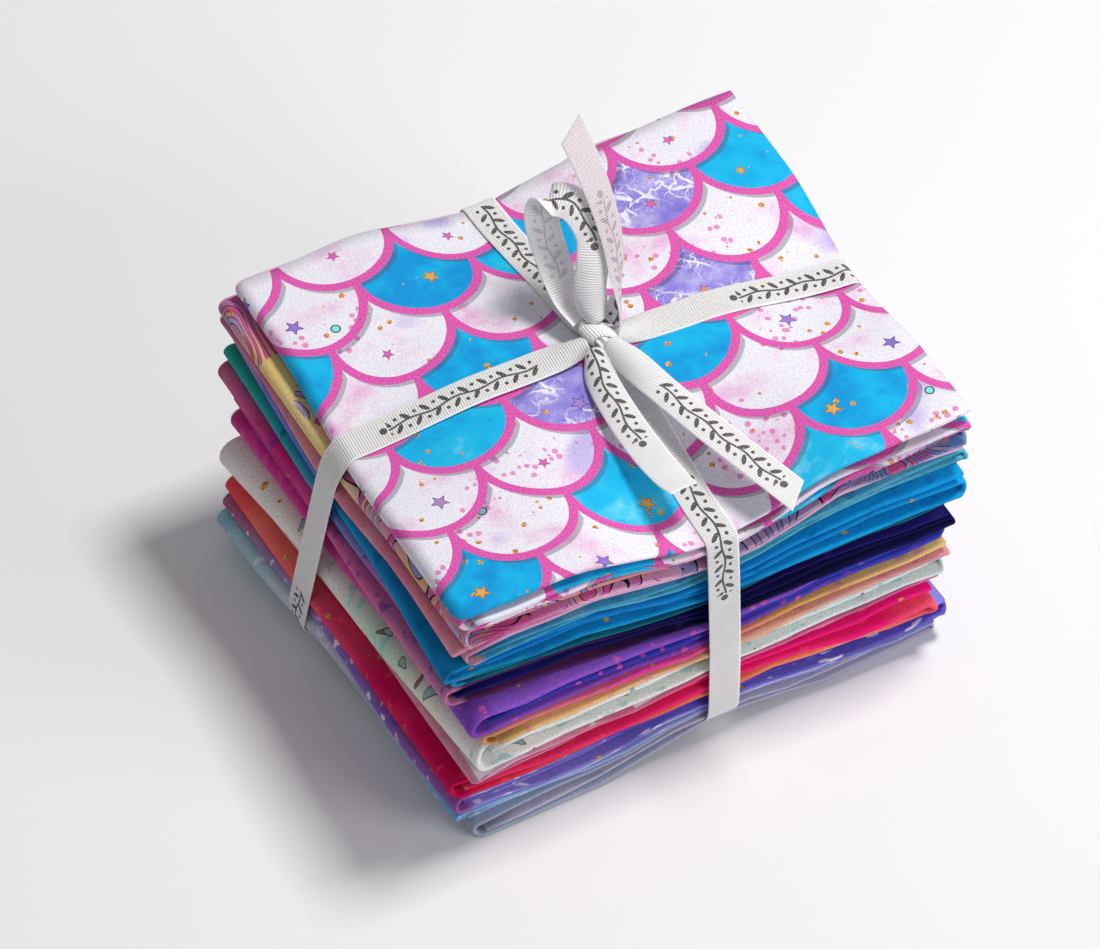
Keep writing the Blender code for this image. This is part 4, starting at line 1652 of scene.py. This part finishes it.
@dataclass
class Knot:
    """The tied knot: a short gathered bundle of ribbon with a pleated collar wound round it."""

    shape: StackShape
    centre: tuple[float, float, float]
    material: bpy.types.Material
    length: float = 13.5
    width: float = 7.2
    height: float = 5.2
    turn: float = -1.35
    tip: float = 0.18
    pleats: int = 7
    along_steps: int = 36
    round_steps: int = 64
    collar_width: float = 6.2
    collar_thick: float = 1.7
    collar_slant: float = 1.87

    def place(self, along: np.ndarray, across: np.ndarray, up: np.ndarray) -> np.ndarray:
        """Points of the knot set at its place in the stack.

        Args:
            along: Positions along the knot.
            across: Positions across it.
            up: Heights above its centre.

        Returns:
            Points in the frame, in metres.
        """
        cos_t, sin_t = math.cos(self.turn), math.sin(self.turn)
        x = self.centre[0] + along * cos_t * math.cos(self.tip) - across * sin_t
        y = self.centre[1] + along * sin_t * math.cos(self.tip) + across * cos_t
        z = self.centre[2] - along * math.sin(self.tip) + up
        return self.shape.place(np.stack([x, y, z], axis=-1))

    def core(self) -> bpy.types.Object:
        """The gathered bundle of ribbon that the collar holds.

        Returns:
            The open grid, with its seam not yet joined.
        """
        place = np.linspace(-1.0, 1.0, self.along_steps)[:, None]
        angle = np.linspace(0.0, 2 * math.pi, self.round_steps + 1)[None, :]
        body = np.sqrt(np.clip(1.0 - np.abs(place) ** 4.0, 0.0, 1.0)) * (0.80 + 0.20 * np.square(place))
        pleat = 1.0 + 0.11 * np.sin(self.pleats * angle + 1.4 * place)
        pleat = pleat + 0.04 * np.sin(13 * angle - 3.0 * place)
        across = self.width / 2 * body * pleat * np.cos(angle) + 0.5 * np.sin(place * 2.6)
        up = self.height / 2 * body * pleat * np.sin(angle) + 0.4 * np.cos(place * 2.0)
        along = self.length / 2 * place + 0.3 * np.sin(angle * 2.0)
        flat = np.stack([angle * 0.0022 + 0 * place, 0.004 * place + 0 * angle], axis=-1)
        return grid_object("knot_core", self.place(along, across, up), flat)

    def collar(self) -> bpy.types.Object:
        """The turn of ribbon round the bundle, slanted and softly pleated.

        Returns:
            The open grid, with its seam not yet joined.
        """
        angle = np.linspace(0.0, 2 * math.pi, self.round_steps + 1)[:, None]
        turn = np.linspace(0.0, 2 * math.pi, 25)[None, :]
        swell = 1.0 + 0.12 * np.sin(2 * angle + 0.7)
        ridge = 1.0 + 0.16 * np.sin(4 * turn + 0.8 * np.sin(angle)) * np.clip(np.cos(turn), 0.0, 1.0)
        radial = self.collar_thick / 2 * np.cos(turn) * ridge
        along = self.collar_width / 2 * np.sin(turn) * swell + self.collar_slant * np.cos(angle)
        across = (self.width / 2 * 0.92 + radial) * np.cos(angle)
        up = (self.height / 2 * 0.92 + radial) * np.sin(angle) + 0.3
        flat = np.stack([angle * 0.0034 + 0 * turn, 0.0045 * np.sin(turn) + 0 * angle], axis=-1)
        return grid_object("knot_collar", self.place(along, across, up), flat)

    def build(self) -> list[bpy.types.Object]:
        """Make the bundle and its collar.

        Returns:
            The two pieces.
        """
        pieces = [self.core(), self.collar()]
        for item in pieces:
            self.close(item)
            item.data.materials.append(self.material)
            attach(item, "root")
            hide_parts("ribbon_knot")
        return pieces

    @staticmethod
    def close(item: bpy.types.Object) -> None:
        """Join the seam and the ends of a wrapped grid and turn its faces outward.

        Args:
            item: The wrapped grid.
        """
        activate(item)
        bpy.ops.object.mode_set(mode="EDIT")
        bpy.ops.mesh.select_all(action="SELECT")
        bpy.ops.mesh.remove_doubles(threshold=0.00002)
        bpy.ops.mesh.normals_make_consistent(inside=False)
        bpy.ops.object.mode_set(mode="OBJECT")


# ---------------------------------------------------------------- setting
@dataclass(frozen=True)
class Lamp:
    """One soft square light aimed at the bundle."""

    name: str
    place: tuple[float, float, float]
    size: float
    watts: float
    tint: str
    target: tuple[float, float, float] = (0.0, 0.0, 0.05)

    def build(self) -> None:
        """Hang the light."""
        data = bpy.data.lights.new(self.name, "AREA")
        data.size = self.size
        data.energy = self.watts
        data.color = linear(self.tint)[:3]
        item = bpy.data.objects.new(self.name, data)
        item.location = self.place
        item.rotation_mode = "QUATERNION"
        item.rotation_quaternion = (Vector(self.target) - Vector(self.place)).to_track_quat("-Z", "Y")
        bpy.context.scene.collection.objects.link(item)


@dataclass(frozen=True)
class Studio:
    """The floor, the lights and the camera."""

    azimuth: float = -28.1
    elevation: float = 50.95
    distance: float = 1.8
    lens_ratio: float = 5.499
    aim_height: float = 0.052
    aim_right: float = -0.0134
    aim_up: float = -0.00565
    sky: str = "#FBFBFF"
    sky_strength: float = 0.30
    lamps: tuple[Lamp, ...] = (
        Lamp("key_light", (0.37, -0.01, 1.15), 0.24, 9.9, "#FFFEFA"),
        Lamp("front_fill", (1.05, -1.45, 0.66), 1.0, 15.0, "#FFFFFF"),
    )

    def camera(self, shape: StackShape) -> None:
        """Set the long-lens camera above the front left corner.

        Args:
            shape: The stack, whose middle the aim starts from.
        """
        azimuth, elevation = math.radians(self.azimuth), math.radians(self.elevation)
        back = Vector((math.sin(azimuth) * math.cos(elevation), -math.cos(azimuth) * math.cos(elevation),
                       math.sin(elevation)))
        right = Vector((math.cos(azimuth), math.sin(azimuth), 0.0))
        up = back.cross(right)
        aim = Vector((shape.shift[0] * MM, shape.shift[1] * MM, self.aim_height))
        aim += right * self.aim_right + up * self.aim_up
        data = bpy.data.cameras.new("camera")
        data.sensor_width = 36.0
        data.lens = self.lens_ratio * data.sensor_width
        data.clip_start, data.clip_end = 0.05, 20.0
        item = bpy.data.objects.new("camera", data)
        item.location = aim + back * self.distance
        item.rotation_mode = "QUATERNION"
        item.rotation_quaternion = (-back).to_track_quat("-Z", "Y")
        bpy.context.scene.collection.objects.link(item)
        bpy.context.scene.camera = item

    def floor(self) -> None:
        """Lay the plain pale surface under the bundle."""
        bpy.ops.object.select_all(action="DESELECT")
        bpy.ops.mesh.primitive_plane_add(size=12.0, location=(0.0, 0.0, -0.0002))
        item = bpy.context.object
        item.name = "floor"
        item.data.materials.append(PaperFloor().make())

    def build(self, shape: StackShape) -> None:
        """Set everything round the bundle.

        Args:
            shape: The stack.
        """
        self.floor()
        for lamp in self.lamps:
            lamp.build()
        world = bpy.data.worlds.new("studio")
        world.use_nodes = True
        background = world.node_tree.nodes["Background"]
        background.inputs["Color"].default_value = linear(self.sky)
        background.inputs["Strength"].default_value = self.sky_strength
        bpy.context.scene.world = world
        bpy.context.scene.view_settings.view_transform = "Standard"
        self.camera(shape)


# ---------------------------------------------------------------- the bundle's own tables
QUARTER_NAMES = ("scale_print", "yellow", "rose", "aqua", "blue", "teal", "mauve", "violet",
                 "peach", "white", "pink", "crimson", "galaxy", "sky", "grey")
PACKETS = (
    Corners((7.5, 9.5, 6.5, 7.0), (1.5, -1.0), (1.0, -2.3), (2.0, 2.2), 0.5, 0.2),
    Corners((6.5, 5.0, 6.8, 6.5), (3.0, -0.3), (1.0, -1.0), (-3.7, 3.4), 2.5),
    Corners((6.0, 4.5, 4.5, 6.0), (0.0, 0.8), (0.8, 0.4), (-3.6, 4.1), 1.5),
    Corners((4.5, 6.5, 4.5, 6.0), (4.2, 1.0), (2.8, 1.5), (1.0, 2.0), 1.0),
    Corners((6.3, 12.5, 4.5, 7.0), (-2.2, 2.0), (1.7, -3.2), (0.0, 2.0), 3.0, 0.3),
    Corners((6.0, 4.5, 5.5, 6.0), (0.8, 3.0), (-4.0, 0.0), (-3.6, 2.4), 1.0),
    Corners((5.0, 5.0, 9.0, 6.5), (-2.2, 2.5), (-3.1, -4.3), (-5.2, 2.0), 2.0),
    Corners((11.5, 9.5, 6.5, 7.0), (2.6, -4.0), (-3.2, -0.6), (-3.0, -2.0), 2.5, 0.35),
    Corners((7.0, 7.5, 7.5, 7.0), (7.2, -4.3), (-2.7, -2.1), (-5.8, -3.7), 1.0),
    Corners((11.0, 5.5, 12.5, 7.0), (4.6, -2.0), (-3.5, -1.2), (-10.7, -6.6), 2.0, 0.4),
    Corners((4.0, 4.0, 4.0, 5.5), (3.9, -3.3), (-6.0, -1.0), (-6.0, -5.0), 1.0),
    Corners((8.0, 10.5, 6.8, 7.5), (-2.2, -0.8), (-7.7, -4.8), (-10.6, -8.3), 2.0, 0.5),
    Corners((6.0, 6.0, 6.0, 6.5), (-2.0, -1.3), (-2.1, -3.0), (-11.1, -8.7), 1.5),
    Corners((5.0, 4.5, 8.0, 7.0), (-0.5, -1.0), (-6.0, -2.0), (-13.7, -8.3), 2.5),
    Corners((6.0, 5.0, 7.0, 7.5), (3.3, -4.8), (-4.9, 0.2), (-9.0, -7.0), 1.5),
)
PINCHES = (
    Pinch(Edge.FRONT, 10.5, 6.0, 62.0, 46.0),
    Pinch(Edge.BACK, 7.0, 4.0, 55.0, 44.0),
    Pinch(Edge.LEFT, 5.0, 4.0, 50.0, 40.0),
    Pinch(Edge.RIGHT, 7.0, 4.0, 50.0, 40.0),
)
# printed colours: along the left fold from back to front, then along the cut for the front folds; the mauve's
# dark front folds also carry painted shade
COTTONS = {
    "yellow": CloudCotton(
        "cotton_yellow",
        [(0.0, "#C77FB4"), (0.12, "#EFCE7C"), (0.45, "#EED89E"), (0.7, "#DE9CBC"), (0.82, "#E2BE70"),
         (1.0, "#D98AAE")],
        [(0.0, "#E6D8EA"), (0.14, "#6F63C0"), (0.3, "#E08CBC"), (0.34, "#D9509C"), (0.5, "#E6B9D6"),
         (0.64, "#3F8ECC"), (0.8, "#DE6FA8"), (1.0, "#EFC9A0")],
        "#E06AA9", 0.30, bits="#E7B85A", bits_share=0.5, motif=Motif.INK_LINES, seed=1.3),
    "rose": CloudCotton(
        "cotton_rose", [(0.0, "#BC6A96"), (0.4, "#E0909C"), (0.7, "#E07C96"), (1.0, "#E58CA0")],
        [(0.0, "#B9A6D6"), (0.16, "#F3BEDD"), (0.34, "#F5BFE0"), (0.5, "#6FA3CC"), (0.7, "#F2C4E0"),
         (1.0, "#EDA9CF")],
        "#F3D9E8", 0.35, bits="#C9699E", bits_share=0.4, seed=4.1),
    "aqua": CloudCotton(
        "cotton_aqua", [(0.0, "#D9B8A0"), (0.3, "#B98AA8"), (0.5, "#E4DFEA"), (1.0, "#D8A0B4")],
        [(0.0, "#52B4DC"), (0.15, "#2E8FC2"), (0.34, "#3AA4CC"), (0.55, "#5FC4DC"), (1.0, "#3F9CC8")],
        "#BFE6F0", 0.3, bits="#1C6FA8", bits_share=0.45, seed=7.7),
    "blue": CloudCotton(
        "cotton_blue", [(0.0, "#B98AB4"), (0.25, "#7A78CC"), (0.5, "#1494CC"), (1.0, "#0C8BC8")],
        [(0.0, "#06A8EE"), (0.2, "#0C86D6"), (0.34, "#0A93C8"), (0.6, "#0CA6EC"), (1.0, "#0B7CD0")],
        "#0A63B4", 0.4, bits="#0A4C9C", bits_share=0.35, speck_share=0.14, seed=9.2),
    "teal": CloudCotton(
        "cotton_teal",
        [(0.0, "#1FA896"), (0.3, "#2C9FAE"), (0.5, "#5C86C4"), (0.75, "#B357A6"), (1.0, "#1C94C8")],
        [(0.0, "#0B5F86"), (0.2, "#0A7486"), (0.34, "#0A8A94"), (0.6, "#08586E"), (1.0, "#0C6E8C")],
        "#2C9C9C", 0.3, bits="#0A3F5A", bits_share=0.5, seed=12.4),
    # mauve: the near-black navy of its front folds and accent clouds is partly its print and partly painted
    # shade for the recess the packet sits back in
    "mauve": CloudCotton(
        "cotton_mauve", [(0.0, "#CC6A94"), (0.25, "#D0207C"), (0.6, "#D0679C"), (1.0, "#D183AC")],
        [(0.0, "#241A78"), (0.2, "#140E48"), (0.34, "#6E2C68"), (0.5, "#0C0A38"), (1.0, "#1C1A70")],
        "#0E0A30", 0.4, bits="#3A2A90", bits_share=0.5, speck_share=0.05, seed=15.5),
    "violet": CloudCotton(
        "cotton_violet", [(0.0, "#C03A78"), (0.25, "#B8207A"), (0.5, "#8A55B8"), (1.0, "#8048B8")],
        [(0.0, "#A85CC6"), (0.14, "#8450C4"), (0.34, "#9358CA"), (0.48, "#7A44B8"), (0.6, "#3C49C7"),
         (0.66, "#3440B8"), (1.0, "#2F38B0")],
        "#7A4CC8", 0.35, bits="#B85CC0", bits_share=0.35, speck="#D86AB8", speck_share=0.26,
        motif=Motif.SPOTS, seed=18.8),
    "peach": CloudCotton(
        "cotton_peach", [(0.0, "#C8268A"), (0.4, "#D63C98"), (0.8, "#C84C94"), (1.0, "#D9A070")],
        [(0.0, "#F6D58C"), (0.12, "#F3B060"), (0.2, "#F02BA4"), (0.34, "#EFA27A"), (0.5, "#F0C878"),
         (0.66, "#E59AA8"), (1.0, "#F2CC7C")],
        "#F2B08C", 0.35, bits="#D9609E", bits_share=0.45, seed=21.1),
    "white": CloudCotton(
        "cotton_white",
        [(0.0, "#F2E6E2"), (0.45, "#EBE4DC"), (0.62, "#BCE0C8"), (0.85, "#EDE8D4"), (1.0, "#F6F6F4")],
        [(0.0, "#FCFCFF"), (0.2, "#E4F8F6"), (0.34, "#FFFFFF"), (0.6, "#E8FAF8"), (1.0, "#FDFDFF")],
        "#C6ECEA", 0.35, bits="#6CC8D0", bits_share=0.5, speck_share=0.13, motif=Motif.FIGURES, seed=24.6),
    "pink": CloudCotton(
        "cotton_pink", [(0.0, "#F0DCD8"), (0.3, "#D0BCA8"), (0.6, "#DB8CAE"), (1.0, "#E59BB4")],
        [(0.0, "#D07AA6"), (0.15, "#E03A78"), (0.34, "#F0C4DC"), (0.6, "#E79AC0"), (1.0, "#D9709C")],
        "#E2A0C4", 0.3, bits="#C85C90", bits_share=0.4, seed=27.3),
    "crimson": CloudCotton(
        "cotton_crimson",
        [(0.0, "#EE4653"), (0.15, "#F27462"), (0.45, "#E8486C"), (0.6, "#D8085C"), (1.0, "#D20354")],
        [(0.0, "#FF1288"), (0.15, "#FA1A7C"), (0.34, "#E01C50"), (0.45, "#F2504C"), (0.6, "#FA9A6C"),
         (0.7, "#FF1A80"), (1.0, "#F0346C")],
        "#F2486A", 0.2, bits="#FF6A58", bits_share=0.3, speck_share=0.12, seed=30.9),
    "galaxy": CloudCotton(
        "cotton_galaxy", [(0.0, "#B05880"), (0.3, "#A890B8"), (0.5, "#8A6ABC"), (1.0, "#9A5CA8")],
        [(0.0, "#8A84DC"), (0.2, "#5A4CC8"), (0.34, "#A898E4"), (0.5, "#7971D9"), (0.75, "#4C3CB6"),
         (1.0, "#8F86E0")],
        "#5A50C0", 0.35, bits="#F4F2FC", bits_share=0.8, speck_share=0.15, seed=33.2),
    "sky": CloudCotton(
        "cotton_sky", [(0.0, "#8CC0D2"), (0.35, "#D0D8DC"), (0.6, "#B9B3CE"), (1.0, "#6CB0DA")],
        [(0.0, "#A9B4E0"), (0.2, "#C9C8F0"), (0.34, "#6CC0E6"), (0.5, "#DDE0F6"), (0.75, "#8F90DC"),
         (1.0, "#B4C8EE")],
        "#8A8CD8", 0.35, bits="#F2F2FA", bits_share=0.6, speck_share=0.14, seed=36.5),
    "grey": CloudCotton(
        "cotton_grey", [(0.0, "#8CB0C4"), (0.5, "#B8B4C4"), (1.0, "#A9B4C8")],
        [(0.0, "#BBB9D8"), (0.34, "#A4B4CC"), (0.55, "#B9B4D0"), (1.0, "#C4C0D8")],
        "#A4A8C4", 0.3, bits="#9C94B4", bits_share=0.3, speck="#B03A80", speck_share=0.03, seed=39.7),
}
KNOT_CENTRE = (1.3, 0.7, 105.6)


def bow_stations() -> dict[str, list[Station]]:
    """Routes of the bow's loop and its three tails, worked out in the stack's own sizes.

    Returns:
        The stations of each, from the knot outwards.
    """
    loop = [
        Station(-1.6, 5.6, 108.6, (0.80, -0.60, 0.00), 200),
        Station(-3.0, 12.6, 114.0, (0.86, -0.50, 0.00), 100),
        Station(-3.9, 19.6, 124.0, (0.88, -0.47, 0.00), 36),
        Station(-4.9, 24.4, 136.0, (0.88, -0.38, 0.05), 16),
        Station(-2.0, 25.6, 142.0, (0.86, -0.08, 0.35), 8),
        Station(3.6, 20.6, 141.8, (0.78, 0.32, 0.48), 8),
        Station(6.6, 14.8, 134.0, (0.88, 0.05, 0.32), 16),
        Station(4.6, 10.4, 127.0, (0.90, -0.12, 0.18), 50),
        Station(2.0, 7.8, 120.0, (0.88, -0.42, 0.00), 62),
        Station(1.6, 5.4, 114.2, (0.90, -0.36, 0.00), 95),
        Station(2.2, 3.6, 109.2, (0.95, -0.10, 0.05), 200),
    ]
    standing = [
        Station(5.6, 1.6, 106.8, (0.20, 0.55, 0.75), -170),
        Station(9.6, 4.6, 114.5, (0.45, 0.80, 0.20), -60),
        Station(11.6, 9.6, 124.5, (0.78, 0.60, -0.10), -25),
        Station(12.0, 15.5, 135.5, (0.86, 0.45, -0.15), -15),
        Station(11.2, 24.0, 147.5, (0.88, 0.30, -0.15), -10),
        Station(9.6, 34.0, 158.5, (0.90, 0.20, -0.15), -6),
    ]
    long_tail = [
        Station(2.4, -3.6, 106.0, (0.90, 0.10, 0.45), 190),
        Station(4.2, -13.0, 107.0, (0.92, 0.10, 0.35), 100),
        Station(7.6, -26.0, 106.6, (0.96, 0.22, 0.00), 40),
        Station(12.6, -44.0, 106.0, (0.96, 0.25, 0.00), 18),
        Station(18.4, -62.0, 105.2, (0.95, 0.28, 0.00), 10),
        Station(23.6, -77.6, 104.2, (0.95, 0.30, 0.00), 6),
    ]
    short_tail = [
        Station(-2.6, -3.4, 105.2, (0.94, -0.15, 0.30), 190),
        Station(-5.4, -13.0, 104.7, (0.98, -0.10, 0.15), 90),
        Station(-6.6, -29.0, 104.5, (1.00, -0.04, 0.05), 30),
        Station(-6.6, -44.0, 104.9, (1.00, 0.00, 0.05), 16),
        Station(-6.0, -56.0, 106.4, (1.00, 0.00, -0.10), 12),
        Station(-5.6, -63.0, 108.8, (1.00, 0.00, -0.25), 10),
    ]
    return {"loop": loop, "standing": standing, "long": long_tail, "short": short_tail}


@dataclass
class Bundle:
    """The fifteen packets and the ribbon that ties them."""

    shape: StackShape = field(default_factory=lambda: StackShape(PACKETS, PINCHES))

    def packets(self) -> list[bpy.types.Object]:
        """Build the packets from the top down.

        Returns:
            The pieces.
        """
        pieces = []
        for number, name in enumerate(QUARTER_NAMES):
            finish = ScalePrint() if number == 0 else COTTONS[name]
            tint = "#E7B6DA" if number == 0 else finish.left[-1][1]
            packet = FatQuarter(number, name, self.shape, finish, WrongSide(name + "_wrong_side", tint))
            if number == 0:
                packet.flat_steps = 40
                packet.ply_steps = 30
            item = packet.build()
            packet.dress(item)
            pieces.append(item)
        return pieces

    def ribbon(self) -> list[bpy.types.Object]:
        """Build the two tied bands, the knot, the loop and the tails.

        Returns:
            The pieces.
        """
        printed = Grosgrain("ribbon_printed_face", 0.95).make()
        reverse = Grosgrain("ribbon_reverse_face", 0.34).make()
        crosswise = Grosgrain("ribbon_crosswise_face", 0.95, repeat=0.1355).make()
        plain = Grosgrain("ribbon_plain_face", 0.0).make()
        # a darker, pinker copy of the ribbon with fainter ribs, painting the shade on the standing tail's
        # back face
        shaded = Grosgrain("ribbon_shaded_face", 0.42, base="#D8CCD0", groove_shade_share=0.08).make()
        shape, route, bow = self.shape, BandRoute(self.shape, KNOT_CENTRE), bow_stations()
        top, knot = ["scale_print_cloth"], ["knot_core"]
        bands = [
            Ribbon("band_across", "ribbon_across", shape, route.stations(True), Held.STRETCHED, top,
                   crosswise, reverse, smooth=False, print_start=-16.0),
            Ribbon("band_along", "ribbon_along", shape, route.stations(False), Held.STRETCHED, top,
                   printed, reverse, smooth=False, print_start=-46.0),
        ]
        free = [
            Ribbon("loop_of_bow", "bow_loop", shape, bow["loop"], Held.FOLDED, knot,
                   printed, reverse, print_start=-14.0),
            # the standing tail's back face wears the painted-shade copy of the ribbon
            Ribbon("tail_standing", "standing_tail", shape, bow["standing"], Held.DRAPED, knot,
                   printed, shaded, slant=5.0, print_start=8.0),
            Ribbon("tail_long", "long_tail", shape, bow["long"], Held.LAID, top,
                   printed, reverse, slant=-5.0, print_start=-22.0),
            Ribbon("tail_short", "short_tail", shape, bow["short"], Held.LAID, top,
                   printed, reverse, slant=-3.0, print_start=12.0),
        ]
        pieces = [band.build() for band in bands]
        pieces += Knot(shape, KNOT_CENTRE, plain).build()
        return pieces + [ribbon.build() for ribbon in free]


def main() -> None:
    """Build the bundle and its setting."""
    logging.basicConfig(level=logging.INFO)
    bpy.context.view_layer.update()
    bundle = Bundle()
    pieces = bundle.packets() + bundle.ribbon()
    Studio().build(bundle.shape)
    for item in pieces:
        LOG.info("%s has %d faces", item.name, len(item.data.polygons))


if __name__ == "__main__":
    main()
